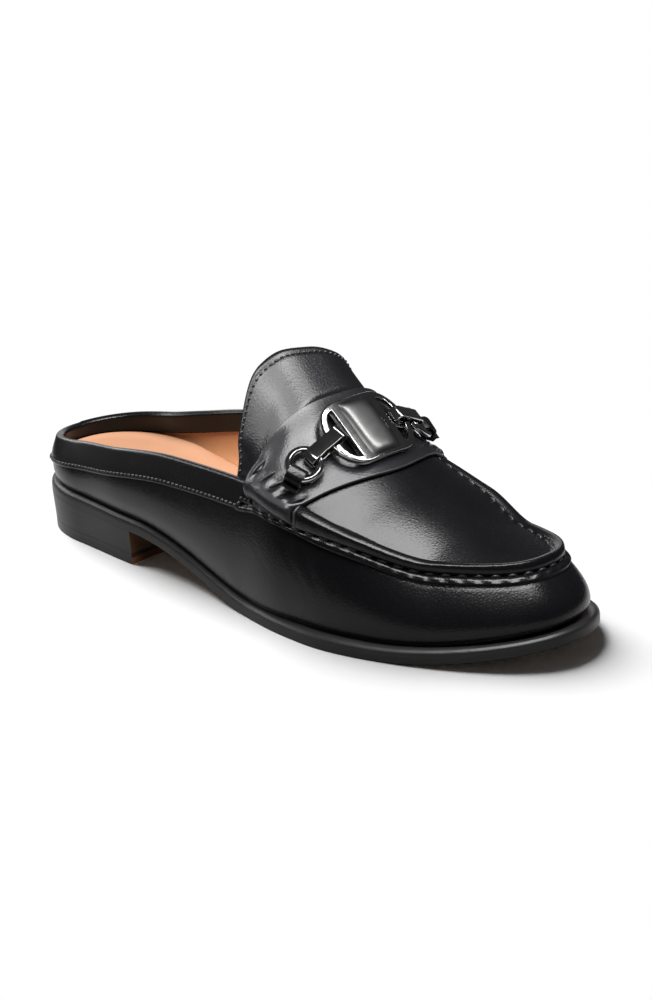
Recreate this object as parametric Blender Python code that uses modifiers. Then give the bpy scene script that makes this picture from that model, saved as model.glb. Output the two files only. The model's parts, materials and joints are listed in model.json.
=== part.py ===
"""Right-foot mule with a low heel wall, a moccasin apron, a saddle strap and a metal bit.

Metres, +Z up. The toe points along -Y, the lateral side is at -X, and the sole stands on Z = 0.
Lengths below are millimetres. S runs along the foot, from the back of the heel (0) to the toe (LENGTH).
"""

import math

import bmesh
import bpy
import numpy as np
from mathutils import Matrix, Vector

MM = 0.001
LENGTH = 262.0
STATIONS = 44

# Sole outline: half widths each side of the centre line, which swings inwards towards the toe.
LATERAL_HALF = (
    (0, 28.2), (34, 29.1), (66, 31.4), (106, 33.0), (140, 37.4),
    (170, 42.5), (187, 44.2), (206, 43.0), (262, 38.0),
)
MEDIAL_HALF = (
    (0, 28.0), (34, 28.8), (66, 27.8), (106, 24.8), (140, 28.8),
    (188, 43.5), (208, 45.0), (262, 46.0),
)
SWING = 10.5
SWING_FROM = 150.0
HEEL_ROUND = 36.0
TOE_ROUND_FROM = 195.0

# Sole and heel heights.
HEEL_HEIGHT = 15.7
HEEL_DROP = 1.7
BREAST = 71.5
BREAST_HOLLOW = 2.0
WAIST_FROM = 73.0
TREAD_FROM = 151.0
TREAD_TO = 205.0
TOE_SPRING = 7.6
SOLE = 5.0
SOLE_EDGE = ((0.4, 0.0), (0.05, 0.7), (0.0, 2.4), (0.3, 3.9), (1.3, SOLE))
LIFT = 4.5
HEEL_INSET = 0.7
INSOLE = (
    (0, 9.6), (25, 10.5), (45, 11.0), (60, 9.4), (75, 7.4),
    (100, 5.0), (130, 3.4), (160, 2.5), (262, 2.2),
)
SEAT_GAP = 0.3

# Upper: the line of its lower edge, its top line, and the crest of the instep.
WALL = 1.6
FEATHER_INSET = ((0, 2.6), (40, 2.6), (110, 2.0), (150, 2.6), (185, 4.4), (262, 4.6))
BULGE = ((0, 1.6), (40, 3.2), (110, 4.6), (150, 3.8), (190, 2.6), (230, 3.4), (262, 4.2))
TOP_BACK = 3.8
TOP_TIP = 246.0
TOP_HALF = (
    (0, 23.6), (34, 24.3), (66, 29.4), (110, 32.1), (150, 35.4),
    (165, 37.4), (195, 34.6), (220, 28.6), (250, 26.0),
)
TOP_HEIGHT = (
    (0, 35.6), (50, 43.1), (100, 50.1), (150, 51.5),
    (165, 48.6), (195, 39.5), (220, 31.8), (246, 32.0),
)
MEDIAL_RISE = ((0, 0.2), (12, 0.2), (30, -1.4), (50, -0.5), (75, 1.3), (110, 0.9), (150, 0.0))
TOP_SWING = 2.5
CREST = (
    (130, 114.0), (136, 104.4), (142, 95.5), (157, 78.8), (171, 64.9),
    (185, 55.6), (195, 49.6), (220, 38.4), (240, 33.1), (246, 32.0),
)
ARCH_POWER = ((138, 3.3), (148, 3.2), (157, 2.95), (171, 2.35), (246, 2.2))
THROAT = 159.0

# Apron seam: a corded ridge along the top line, a stitched valley, and a flange that steps down to the vamp.
RIDGE_FROM = (150.0, 158.0)
SEAM_STEPS = ((0.0, 2.0), (1.6, 0.5), (2.4, 1.3), (4.9, 1.3), (5.5, 0.0))
WALL_ROWS = 5
PLUG_COLUMNS = 14

# Collar binding, saddle strap and tongue.
BAND = 0.7
BAND_GAP = 0.25
BAND_DEPTH = 10.0
BAND_INSIDE = 8.0
BAND_END = 146.0
SADDLE = 1.6
SADDLE_REAR = (157.0, 148.5)
SADDLE_FRONT = (185.5, 172.0)
SADDLE_WRAP = 5.0
TONGUE = 1.8
TONGUE_EDGE = (142.4, 136.4)
TONGUE_TILT = 2.2
TONGUE_ROOT = 170.0
TONGUE_CLEAR = 3.4
TONGUE_LOW = 2.0
TONGUE_FLARE = 2.4

# Bit: leather tabs, rings, flat link bands and a centre plate with a D loop at each end.
RING_X = 26.3
RING_S = 167.4
RING_LIFT = 1.9
RING_R = 5.7
WIRE = 1.4
PLATE_X = 0.0
PLATE_S = 170.0
PLATE_HALF = 8.6
PLATE_LIFT = 2.7
PLATE_THICK = 2.4
PLATE_BEND = 0.0055
LOOP_DEPTH = 11.0
LOOP_HALF = 13.3
LOOP_BAND = 3.2
LOOP_BAR = 2.4
LINK_WIDTH = 5.4
LINK_WALL = 0.9
LINK_CLEAR = 1.0
LINK_SLACK = (1.4, 5.2)
TAB_WIDTH = 6.4
TAB_WALL = 1.1
TAB_TAIL = 4.4

# Finishes: colour, roughness, metallic.
LEATHER_FINISH = ((0.012, 0.012, 0.013), 0.38, 0.0)
EDGE_FINISH = ((0.02, 0.02, 0.02), 0.5, 0.0)
STACK_FINISH = ((0.06, 0.025, 0.006), 0.6, 0.0)
TAN_FINISH = ((0.60, 0.30, 0.14), 0.55, 0.0)
METAL_FINISH = ((0.30, 0.29, 0.28), 0.12, 1.0)

PARTS = bpy.data.collections.new("horsebit_mule")


def ease(low, high, x):
    t = np.clip((np.asarray(x, float) - low) / (high - low), 0.0, 1.0)
    return t * t * (3.0 - 2.0 * t)


def through(table, x):
    """A smooth curve through a short table of pairs, flat beyond both ends, with no overshoot."""
    xs, ys = np.array(table, float).T
    x = np.clip(np.asarray(x, float), xs[0], xs[-1])
    step = np.diff(xs)
    slope = np.diff(ys) / step
    tangent = np.zeros(len(xs))
    rising = slope[:-1] * slope[1:] > 0
    both = np.where(rising, slope[:-1] + slope[1:], 1.0)
    tangent[1:-1] = np.where(rising, 2.0 * slope[:-1] * slope[1:] / both, 0.0)
    tangent[0], tangent[-1] = slope[0], slope[-1]
    i = np.clip(np.searchsorted(xs, x) - 1, 0, len(step) - 1)
    t = (x - xs[i]) / step[i]
    a = (2 * t**3 - 3 * t**2 + 1) * ys[i] + (t**3 - 2 * t**2 + t) * step[i] * tangent[i]
    b = (3 * t**2 - 2 * t**3) * ys[i + 1] + (t**3 - t**2) * step[i] * tangent[i + 1]
    return a + b


def rounded(t, power):
    """1 at t = 0, falling to 0 at t = 1 like the end of a superellipse."""
    return np.maximum(1.0 - np.clip(t, 0.0, 1.0) ** power, 0.0) ** (1.0 / power)


def sole_half(s, side):
    width = through(LATERAL_HALF if side < 0 else MEDIAL_HALF, s)
    width = width * rounded((s - TOE_ROUND_FROM) / (LENGTH - TOE_ROUND_FROM), 2.1)
    return width * rounded((HEEL_ROUND - s) / HEEL_ROUND, 2.2)


def swing(s):
    return SWING * ease(SWING_FROM, LENGTH, s)


def sole_bottom(s):
    seat = HEEL_HEIGHT - HEEL_DROP * np.minimum(s, WAIST_FROM) / WAIST_FROM
    waist = seat * (1.0 - ease(WAIST_FROM, TREAD_FROM, s))
    return waist + TOE_SPRING * np.clip((s - TREAD_TO) / (LENGTH - TREAD_TO), 0, 1) ** 1.8


def seat_line(s):
    """The top of the heel, just under the sole."""
    return sole_bottom(s) - 0.1


def top_half(s):
    width = through(TOP_HALF, s)
    width = width * rounded((s - 188.0) / (TOP_TIP - 188.0), 2.5)
    return width * rounded((34.0 - s) / (34.0 - TOP_BACK), 2.2)


def top_centre(s):
    return swing(s) + TOP_SWING * ease(170.0, TOP_TIP, s)


def top_station(s):
    """Where along the foot the top line stands above outline station s."""
    return s + TOP_BACK * (1.0 - ease(0.0, 60.0, s)) - (LENGTH - TOP_TIP) * ease(150.0, LENGTH, s)


def outline_station(top):
    s = np.array(top, float)
    for _ in range(12):
        s = s + (top - top_station(s))
    return s


def loop_stations():
    s = LENGTH * (1.0 - np.cos(np.pi * np.arange(STATIONS + 1) / STATIONS)) / 2.0
    throat = outline_station(np.array(THROAT))
    s[int(np.argmin(np.abs(s - throat)))] = throat
    return s


def outline_loop(s):
    """Plan points (x, s) and outward normals: heel, lateral side, toe, medial side."""
    lateral = np.stack([swing(s) - sole_half(s, -1), s], 1)
    medial = np.stack([swing(s) + sole_half(s, 1), s], 1)
    loop = np.concatenate([lateral, medial[-2:0:-1]])
    along = np.roll(loop, -1, 0) - np.roll(loop, 1, 0)
    normal = np.stack([-along[:, 1], along[:, 0]], 1)
    return loop, normal / np.linalg.norm(normal, axis=1)[:, None]


S = loop_stations()
LOOP, LOOP_OUT = outline_loop(S)
MID_X = (LOOP[:, 0].max() + LOOP[:, 0].min()) / 2.0
SIDE = np.where(np.arange(len(LOOP)) <= STATIONS, -1.0, 1.0)
THROAT_K = int(np.argmin(np.abs(top_station(S) - THROAT)))


def at_height(plan, z):
    return np.concatenate([plan, np.asarray(z, float)[:, None]], 1)


def to_world(points):
    """From (x, s, z) in millimetres to the part's frame in metres."""
    p = np.asarray(points, float)
    return np.stack([p[..., 0] - MID_X, LENGTH / 2.0 - p[..., 1], p[..., 2]], -1) * MM


def wrap(rows):
    return np.concatenate([rows, rows[:, :1]], 1)


def cap(loop, columns=4):
    """Rows across a closed loop, joining each lateral point to the medial one beside it."""
    n = len(loop)
    half = n // 2
    lateral = loop[: half + 1]
    medial = loop[[(n - k) % n for k in range(half + 1)]]
    t = np.linspace(0.0, 1.0, columns + 1)[None, :, None]
    return lateral[:, None] * (1.0 - t) + medial[:, None] * t


def surface(name, patches, finish, closed):
    """One object from grids of points, welded where they meet."""
    points = []
    faces = []
    for grid in patches:
        rows, columns = grid.shape[:2]
        first = sum(len(p) for p in points)
        points.append(grid.reshape(-1, 3))
        index = first + np.arange(rows * columns).reshape(rows, columns)
        corners = (index[:-1, :-1], index[:-1, 1:], index[1:, 1:], index[1:, :-1])
        faces.append(np.stack(corners, -1).reshape(-1, 4))
    points = np.round(np.concatenate(points), 4)
    points, order = np.unique(points, axis=0, return_inverse=True)
    order = order.reshape(-1)
    solid_faces = []
    for face in order[np.concatenate(faces)]:
        corners = list(dict.fromkeys(face.tolist()))
        if len(corners) > 2:
            solid_faces.append(corners)
    mesh = bpy.data.meshes.new(name)
    mesh.from_pydata(to_world(points).tolist(), [], solid_faces)
    if closed:
        turn_outwards(mesh)
    return add(name, mesh, finish)


def turn_outwards(mesh):
    work = bmesh.new()
    work.from_mesh(mesh)
    bmesh.ops.recalc_face_normals(work, faces=work.faces)
    work.to_mesh(mesh)
    work.free()


def add(name, mesh, finish):
    colour, roughness, metallic = finish
    material = bpy.data.materials.new(name)
    material.use_nodes = True
    shader = material.node_tree.nodes["Principled BSDF"]
    shader.inputs["Base Color"].default_value = (*colour, 1.0)
    shader.inputs["Roughness"].default_value = roughness
    shader.inputs["Metallic"].default_value = metallic
    mesh.materials.append(material)
    mesh.shade_smooth()
    mesh.set_sharp_from_angle(angle=math.radians(40))
    piece = bpy.data.objects.new(name, mesh)
    PARTS.objects.link(piece)
    return piece


def thicken(piece, thickness, outwards):
    wall = piece.modifiers.new("wall", "SOLIDIFY")
    wall.thickness = thickness * MM
    wall.offset = 1.0 if outwards else -1.0
    wall.use_even_offset = False


def normals(grid, closed=False):
    """Unit normals of a grid of points, from the differences along its rows and columns."""
    down = np.gradient(grid, axis=0)
    if closed:
        across = (np.roll(grid, -1, 1) - np.roll(grid, 1, 1)) / 2.0
    else:
        across = np.gradient(grid, axis=1)
    n = np.cross(down, across)
    return n / np.maximum(np.linalg.norm(n, axis=-1), 1e-9)[..., None]


def feather(s, out, plan):
    """The lower edge of the upper, on top of the sole and set in from its rim."""
    inset = through(FEATHER_INSET, s)[:, None]
    return at_height(plan - out * inset, sole_bottom(s) + SOLE + SEAT_GAP)


def top_line(s, side):
    top = top_station(s)
    height = through(TOP_HEIGHT, top) + np.where(side > 0, through(MEDIAL_RISE, top), 0.0)
    return np.stack([top_centre(top) + side * top_half(top), top, height], 1)


def wall_points(low, high, out, s, depth):
    """Points on the bulging wall, each at its depth below the top line."""
    reach = np.linalg.norm(high - low, axis=1)
    t = np.clip(1.0 - depth / reach, 0.0, 1.0)
    point = low * (1.0 - t)[:, None] + high * t[:, None]
    swell = through(BULGE, s) * np.sin(np.pi * t**0.75)
    point[:, :2] += out * swell[:, None]
    return point


def wall_at(side, top, depth):
    """The wall on one side at stations of the top line, for pieces that lie over it."""
    s = outline_station(np.asarray(top, float))
    small = 0.5
    plan = np.stack([swing(s) + side * sole_half(s, side), s], 1)
    ahead = np.stack([swing(s + small) + side * sole_half(s + small, side), s + small], 1)
    along = ahead - plan
    out = np.stack([side * along[:, 1], -side * along[:, 0]], 1)
    out = out / np.linalg.norm(out, axis=1)[:, None]
    return wall_points(feather(s, out, plan), top_line(s, side), out, s, depth)


def arch(a, s, half=None, base=None):
    """The instep surface: a runs from -1 on the lateral top line to 1 on the medial one."""
    half = top_half(s) if half is None else half
    base = through(TOP_HEIGHT, s) if base is None else base
    rise = through(CREST, s) - base
    z = base + rise * (1.0 - np.abs(a) ** through(ARCH_POWER, s))
    return np.stack([top_centre(s) + a * half, s + 0.0 * a, z], -1)


def outsole():
    loops = []
    for inset, height in SOLE_EDGE:
        plan = LOOP - LOOP_OUT * inset
        loops.append(at_height(plan, sole_bottom(np.clip(plan[:, 1], 0, LENGTH)) + height))
    sides = wrap(np.stack(loops))
    return surface("outsole", [sides, cap(loops[0]), cap(loops[-1])], EDGE_FINISH, True)


def heel_block(name, low, high, insets, finish):
    """A slice of the heel: round at the back, hollowed a little along the breast."""
    reach = BREAST * (1.0 - np.cos(np.pi / 2 * np.arange(15) / 14))
    across = np.linspace(-1.0, 1.0, 9)
    grids = []
    for level, inset in zip((low, high), insets):
        s = inset + reach * (BREAST - inset) / BREAST
        outer = np.maximum(s - inset, 0.0)
        left = -np.maximum(sole_half(outer, -1) - inset, 0.0)
        right = np.maximum(sole_half(outer, 1) - inset, 0.0)
        x = left[:, None] + (right - left)[:, None] * (across + 1.0) / 2.0
        hollow = BREAST_HOLLOW * (1.0 - across**2) * (np.arange(15) == 14)[:, None]
        row = s[:, None] - hollow
        z = level(row) if callable(level) else level + 0.0 * row
        grids.append(np.stack([x, row, z], -1))
    lower, upper = grids
    rims = [np.stack([lower[:, c], upper[:, c]]) for c in (0, -1)]
    rims.append(np.stack([lower[-1], upper[-1]]))
    return surface(name, [lower, upper] + rims, finish, True)


def insole():
    """The sock with its heel cushion, which follows the wall outwards as it rises."""
    s = LOOP[:, 1]
    inset = through(FEATHER_INSET, s) + WALL + 0.9
    swell = 0.7 * (through(BULGE, s) - BULGE[0][1]) * ease(2.5, 8.0, through(INSOLE, s))
    loops = []
    for edge, height, outwards in ((0.4, 0.0, 0.0), (0.0, 0.3, 0.2), (0.0, 0.75, 1.0), (0.6, 1.0, 1.0)):
        plan = LOOP - LOOP_OUT * (inset + edge - outwards * swell)[:, None]
        rise = SEAT_GAP + height * (through(INSOLE, plan[:, 1]) - SEAT_GAP)
        loops.append(at_height(plan, sole_bottom(plan[:, 1]) + SOLE + rise))
    return surface("insole", [wrap(np.stack(loops)), cap(loops[0]), cap(loops[-1])], TAN_FINISH, True)


def upper_grids():
    """The wall around the foot and the apron plug between its two seams, before the seam is raised."""
    s = LOOP[:, 1]
    low = feather(s, LOOP_OUT, LOOP)
    high = top_line(s, SIDE)
    reach = np.linalg.norm(high - low, axis=1)
    deepest = SEAM_STEPS[-1][0]
    rows = []
    for r in range(WALL_ROWS):
        rows.append(wall_points(low, high, LOOP_OUT, s, reach - (reach - deepest) * r / WALL_ROWS))
    for depth, _ in reversed(SEAM_STEPS):
        rows.append(wall_points(low, high, LOOP_OUT, s, np.full(len(s), depth)))
    wall = np.stack(rows)
    top = top_station(S[THROAT_K:])
    edge = 1.0 - 2.2 / np.maximum(top_half(top), 2.5)
    a = edge[:, None] * np.sin(np.pi / 2 * np.linspace(-1, 1, PLUG_COLUMNS - 1))[None, :]
    a = np.concatenate([-np.ones((len(top), 1)), a, np.ones((len(top), 1))], 1)
    plug = arch(a, np.broadcast_to(top[:, None], a.shape))
    return wall, plug


def upper():
    wall, plug = upper_grids()
    out = normals(wall, True)
    top = top_station(LOOP[:, 1])
    raised = ease(*RIDGE_FROM, top)
    up = normals(plug)
    up *= np.where(up[..., 2:] < 0, -1.0, 1.0)
    seam_k = np.arange(THROAT_K, 2 * STATIONS - THROAT_K + 1)
    lateral = up[:, 0]
    medial = up[:-1, -1][::-1]
    seam_up = np.concatenate([lateral, medial])
    out[-1, seam_k] += seam_up
    out /= np.linalg.norm(out, axis=-1)[..., None]
    for row, (_, height) in zip(range(len(wall) - 1, -1, -1), SEAM_STEPS):
        wall[row] += out[row] * (height * raised)[:, None]
    tip = STATIONS - THROAT_K
    plug[:, 0] = wall[-1, THROAT_K : STATIONS + 1]
    plug[:, -1] = wall[-1, [2 * STATIONS - k for k in range(THROAT_K, STATIONS + 1)]]
    plug[tip] = wall[-1, STATIONS]
    piece = surface("upper", [wrap(wall), plug[:, ::-1]], LEATHER_FINISH, False)
    thicken(piece, WALL, False)


def collar_band():
    """A binding folded over the collar, from one end of the saddle round the heel to the other."""
    lateral = [k for k in range(STATIONS) if top_station(S[k]) <= BAND_END]
    order = lateral[::-1] + [2 * STATIONS - k for k in lateral[1:]]
    s = LOOP[order, 1]
    low = feather(s, LOOP_OUT[order], LOOP[order])
    high = top_line(s, SIDE[order])
    depths = (BAND_DEPTH, 8.0, 5.0, 2.4, 0.0)
    rows = [wall_points(low, high, LOOP_OUT[order], s, np.full(len(s), d)) for d in depths]
    wall = np.stack(rows)
    out = -normals(wall)
    rise = wall[-1] - wall[-2]
    rise = rise / np.linalg.norm(rise, axis=1)[:, None]
    outer = wall + out * BAND_GAP
    outer[-1] += rise * BAND_GAP
    inner = wall - out * (WALL + BAND_GAP)
    inner[-1] += rise * BAND_GAP
    inside = inner[[r for r, d in enumerate(depths) if d <= BAND_INSIDE]]
    fold = np.concatenate([outer, inside[::-1]])
    piece = surface("collar_band", [fold[::-1]], LEATHER_FINISH, False)
    thicken(piece, BAND, True)


def saddle_strap():
    """The strap over the instep, wrapped at both ends over the seam."""
    rows = 8
    inner = np.linspace(-0.85, 0.85, 15)
    across = np.concatenate([[-1.0, -0.945], inner, [0.945, 1.0]])
    columns = []
    lifts = []
    t = np.linspace(0.0, 1.0, rows)
    ends = ((-1, SADDLE_WRAP, 1.85), (-1, 2.4, 1.95))
    for side, depth, raise_by in ends:
        top = SADDLE_REAR[1] + t * (SADDLE_FRONT[1] - SADDLE_REAR[1])
        columns.append(wall_at(side, top, np.full(rows, depth)))
        lifts.append(raise_by)
    for a in across:
        rear = SADDLE_REAR[0] + (SADDLE_REAR[1] - SADDLE_REAR[0]) * abs(a) ** 3
        front = SADDLE_FRONT[0] + (SADDLE_FRONT[1] - SADDLE_FRONT[0]) * abs(a) ** 2
        columns.append(arch(np.full(rows, a), rear + t * (front - rear)))
        lifts.append(SEAT_GAP + 2.2 * ease(0.86, 1.0, abs(a)))
    for side, depth, raise_by in ends[::-1]:
        top = SADDLE_REAR[1] + t * (SADDLE_FRONT[1] - SADDLE_REAR[1])
        columns.append(wall_at(-side, top, np.full(rows, depth)))
        lifts.append(raise_by)
    grid = np.stack(columns, 1)
    out = normals(grid)
    middle = len(columns) // 2
    out *= np.where(out[:, middle : middle + 1, 2:] < 0, -1.0, 1.0)
    grid = grid + out * np.array(lifts)[None, :, None]
    piece = surface("saddle_strap", [grid[:, ::-1]], LEATHER_FINISH, False)
    thicken(piece, SADDLE, True)


def tongue():
    """An arched flap on the line of the instep, rooted inside the vamp and free behind the strap."""
    a = np.linspace(-1.0, 1.0, 17)
    free = TONGUE_EDGE[0] + (TONGUE_EDGE[1] - TONGUE_EDGE[0]) * a**2 + TONGUE_TILT * a
    t = np.linspace(0.0, 1.0, 9)[:, None]
    s = free[None, :] + t * (TONGUE_ROOT - free)[None, :]
    wide = np.broadcast_to(a[None, :], s.shape)
    collar = through(TOP_HEIGHT, s)
    grid = arch(wide, s, top_half(s) - TONGUE_CLEAR, collar - TONGUE_LOW)
    flare = ease(3.0, 15.0, grid[..., 2] - collar) * (1.0 - ease(136.0, 148.0, s))
    grid[..., 0] += TONGUE_FLARE * wide * flare
    out = normals(grid)
    out *= np.where(out[..., 2:] < 0, -1.0, 1.0)
    sunk = 0.3 + (WALL + 0.5) * ease(152.0, THROAT - 1.0, s)
    piece = surface("tongue", [(grid - out * sunk[..., None])[:, ::-1]], LEATHER_FINISH, False)
    thicken(piece, TONGUE, False)


def frame_on_saddle(x, s, lift):
    """A matrix on the strap: X across towards medial, Y up the instep, Z out of the leather."""
    small = 0.01
    s = np.array(s)
    a = np.array((x - top_centre(s)) / top_half(s))
    here = to_world(arch(a, s))
    across = to_world(arch(a + small, s)) - here
    along = to_world(arch(a, s - 1.0)) - here
    out = Vector(np.cross(across, along)).normalized()
    axis_x = Vector(across).normalized()
    axis_y = out.cross(axis_x)
    turn = Matrix((axis_x, axis_y, out)).transposed().to_4x4()
    place = Vector(here) + out * (SEAT_GAP + SADDLE + lift) * MM
    return Matrix.Translation(place) @ turn


def plate_frame():
    return frame_on_saddle(PLATE_X, PLATE_S, PLATE_LIFT + PLATE_THICK / 2.0)


def ring_frame(side):
    return frame_on_saddle(side * RING_X, RING_S, WIRE + RING_LIFT)


def outline_solid(name, outlines, thickness, finish, matrix, bend=0.0, axis="Z"):
    """A flat outline with its holes, given thickness, and bent down away from its middle."""
    curve = bpy.data.curves.new(name, "CURVE")
    curve.dimensions = "2D"
    curve.fill_mode = "BOTH"
    curve.extrude = thickness / 2.0 * MM
    for outline in outlines:
        spline = curve.splines.new("POLY")
        spline.points.add(len(outline) - 1)
        for point, (x, y) in zip(spline.points, outline):
            point.co = (x * MM, y * MM, 0.0, 1.0)
        spline.use_cyclic_u = True
    guide = bpy.data.objects.new(name + "_outline", curve)
    PARTS.objects.link(guide)
    mesh = bpy.data.meshes.new_from_object(guide.evaluated_get(bpy.context.evaluated_depsgraph_get()))
    bpy.data.objects.remove(guide)
    work = bmesh.new()
    work.from_mesh(mesh)
    bmesh.ops.remove_doubles(work, verts=work.verts, dist=1e-6)
    for vertex in work.verts:
        vertex.co.z -= bend * (vertex.co.x / MM) ** 2 * MM
    work.to_mesh(mesh)
    work.free()
    mesh.name = name
    turn_outwards(mesh)
    mesh.materials.clear()
    piece = add(name, mesh, finish)
    if axis == "Y":
        matrix = matrix @ Matrix.Rotation(math.pi / 2, 4, "X")
    piece.matrix_world = matrix
    return piece


def stadium(x0, x1, y, radius, steps=8):
    points = []
    for i in range(steps + 1):
        t = -math.pi / 2 + math.pi * i / steps
        points.append((x1 + radius * math.cos(t), y + radius * math.sin(t)))
    for i in range(steps + 1):
        t = math.pi / 2 + math.pi * i / steps
        points.append((x0 + radius * math.cos(t), y + radius * math.sin(t)))
    return points


def d_loop(side, depth, half, straight):
    """A D with its straight edge at x = straight and its bow away from the middle."""
    steps = 14
    points = []
    for i in range(steps + 1):
        t = math.pi * i / steps
        points.append((side * (straight + depth * math.sin(t)), half * math.cos(t)))
    return points


def bit_centre():
    """A plain plate with a D loop on either side, as one casting."""
    right = d_loop(1, LOOP_DEPTH, LOOP_HALF, PLATE_HALF)
    left = d_loop(-1, LOOP_DEPTH, LOOP_HALF, PLATE_HALF)
    inner = PLATE_HALF + LOOP_BAR
    depth = LOOP_DEPTH - LOOP_BAND - LOOP_BAR
    holes = [d_loop(side, depth, LOOP_HALF - LOOP_BAND, inner) for side in (1, -1)]
    outline = right + left[::-1]
    outline_solid("bit_centre", [outline] + holes, PLATE_THICK, METAL_FINISH, plate_frame(), PLATE_BEND)


def ring(name, side):
    bpy.ops.mesh.primitive_torus_add(
        major_segments=28, minor_segments=10, major_radius=RING_R * MM, minor_radius=WIRE * MM
    )
    made = bpy.context.object
    mesh = made.data
    bpy.data.objects.remove(made)
    mesh.name = name
    piece = add(name, mesh, METAL_FINISH)
    piece.matrix_world = ring_frame(side)


def link(name, side):
    """A flat metal band closed round the inner side of a ring and the bow of the D loop beside it."""
    reach = PLATE_HALF + LOOP_DEPTH - LOOP_BAND / 2.0
    far = plate_frame() @ Vector((side * reach * MM, 0.0, -PLATE_BEND * reach**2 * MM))
    middle = ring_frame(side).translation
    facing = ring_frame(side).to_3x3().col[2].normalized()
    towards = far - middle
    towards = (towards - facing * towards.dot(facing)).normalized()
    near = middle + towards * RING_R * MM
    axis_x = (far - near).normalized()
    axis_y = facing.cross(axis_x).normalized()
    axis_z = axis_x.cross(axis_y)
    turn = Matrix((axis_x, axis_y, axis_z)).transposed().to_4x4()
    matrix = Matrix.Translation(near) @ turn
    gap = (far - near).length / MM
    slot = PLATE_THICK / 2.0 + LINK_CLEAR
    low = -LINK_SLACK[0]
    high = gap + LINK_SLACK[1] - slot
    outlines = [stadium(low, high, 0.0, slot + LINK_WALL), stadium(low, high, 0.0, slot)]
    outline_solid(name, outlines, LINK_WIDTH, METAL_FINISH, matrix, axis="Y")


def tab(name, side):
    """A leather strip looped through a ring, its tail lying towards the end of the strap."""
    matrix = ring_frame(side) @ Matrix.Translation((side * RING_R * MM, 0.0, 0.0))
    if side > 0:
        matrix = matrix @ Matrix.Rotation(math.pi, 4, "Z")
    hole = WIRE + SEAT_GAP + 0.15
    sag = RING_R - math.sqrt(RING_R**2 - (TAB_WIDTH / 2.0) ** 2)
    bow = stadium(0.0, sag, 0.0, hole + TAB_WALL)
    tail = [(-TAB_TAIL, -WIRE), (-TAB_TAIL, -WIRE + 1.6)]
    outer = bow[:-2] + tail[::-1] + bow[-1:]
    outline_solid(name, [outer, stadium(0.0, sag, 0.0, hole)], TAB_WIDTH, LEATHER_FINISH, matrix, axis="Y")


def main():
    for old in list(bpy.data.objects):
        bpy.data.objects.remove(old)
    bpy.context.scene.collection.children.link(PARTS)
    outsole()
    heel_block("top_lift", 0.0, LIFT - 0.1, (HEEL_INSET, HEEL_INSET), STACK_FINISH)
    heel_block("heel_stack", LIFT, seat_line, (HEEL_INSET, HEEL_INSET - 0.3), EDGE_FINISH)
    insole()
    upper()
    collar_band()
    saddle_strap()
    tongue()
    ring("ring_lateral", -1)
    ring("ring_medial", 1)
    bit_centre()
    link("link_lateral", -1)
    link("link_medial", 1)
    tab("tab_lateral", -1)
    tab("tab_medial", 1)


main()
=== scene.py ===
"""Dresses the right-foot mule: black leather, tan lining, waxed thread, painted edges and dark metal.

Metres, +Z up. The toe points along -Y and the lateral side is at -X. Lengths in the tables are millimetres.
S runs along the foot, from the back of the heel (0) to the toe (LENGTH).
"""

import json
import math

import bmesh
import bpy
import numpy as np
from bpy.props import FloatProperty, FloatVectorProperty, PointerProperty
from mathutils import Matrix, Vector, kdtree

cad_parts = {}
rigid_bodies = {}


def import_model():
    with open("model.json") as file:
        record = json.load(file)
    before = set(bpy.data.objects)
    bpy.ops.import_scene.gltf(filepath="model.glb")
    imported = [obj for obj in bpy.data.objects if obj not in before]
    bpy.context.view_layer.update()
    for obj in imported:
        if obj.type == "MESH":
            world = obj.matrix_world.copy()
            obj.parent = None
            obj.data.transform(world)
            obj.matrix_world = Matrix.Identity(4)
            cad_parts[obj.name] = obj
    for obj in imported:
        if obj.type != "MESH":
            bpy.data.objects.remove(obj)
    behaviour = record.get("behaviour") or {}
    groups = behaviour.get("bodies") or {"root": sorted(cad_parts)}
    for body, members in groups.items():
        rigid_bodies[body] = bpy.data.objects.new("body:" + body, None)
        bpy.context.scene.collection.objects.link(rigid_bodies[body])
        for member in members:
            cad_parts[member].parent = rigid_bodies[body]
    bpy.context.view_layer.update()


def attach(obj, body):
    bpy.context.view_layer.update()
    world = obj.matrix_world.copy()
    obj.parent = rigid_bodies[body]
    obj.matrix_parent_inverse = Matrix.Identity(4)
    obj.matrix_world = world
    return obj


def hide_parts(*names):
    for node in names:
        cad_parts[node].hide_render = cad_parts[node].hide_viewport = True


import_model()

bl_info = {
    "name": "Mule dressing",
    "version": (1, 0, 0),
    "blender": (4, 5, 0),
    "location": "View3D > Sidebar > Mule",
    "description": "Builds the leather, lining, stitching, sole edges and bit of a mule over its solids",
    "category": "Object",
}

MM = 0.001
LENGTH = 262.0
SIDES = (("lateral", -1), ("medial", 1))

# Pairs in a table are a station along the foot and a size there, unless a comment says otherwise.
# Powers from 2 up say how square a rounded shape is: more is squarer.

# Sole outline: half widths each side of the centre line, which swings inwards towards the toe.
LATERAL_HALF = (
    (0, 28.2), (34, 29.1), (66, 31.4), (106, 33.0), (140, 37.4),
    (170, 42.5), (187, 44.2), (206, 43.0), (262, 38.0),
)
MEDIAL_HALF = (
    (0, 28.0), (34, 28.8), (66, 27.8), (106, 24.8), (140, 28.8),
    (188, 43.5), (208, 45.0), (262, 46.0),
)
SWING = 10.5
SWING_FROM = 150.0
HEEL_ROUND = 36.0
HEEL_POWER = 2.2
TOE_ROUND_FROM = 195.0
TOE_POWER = 2.1

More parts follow.
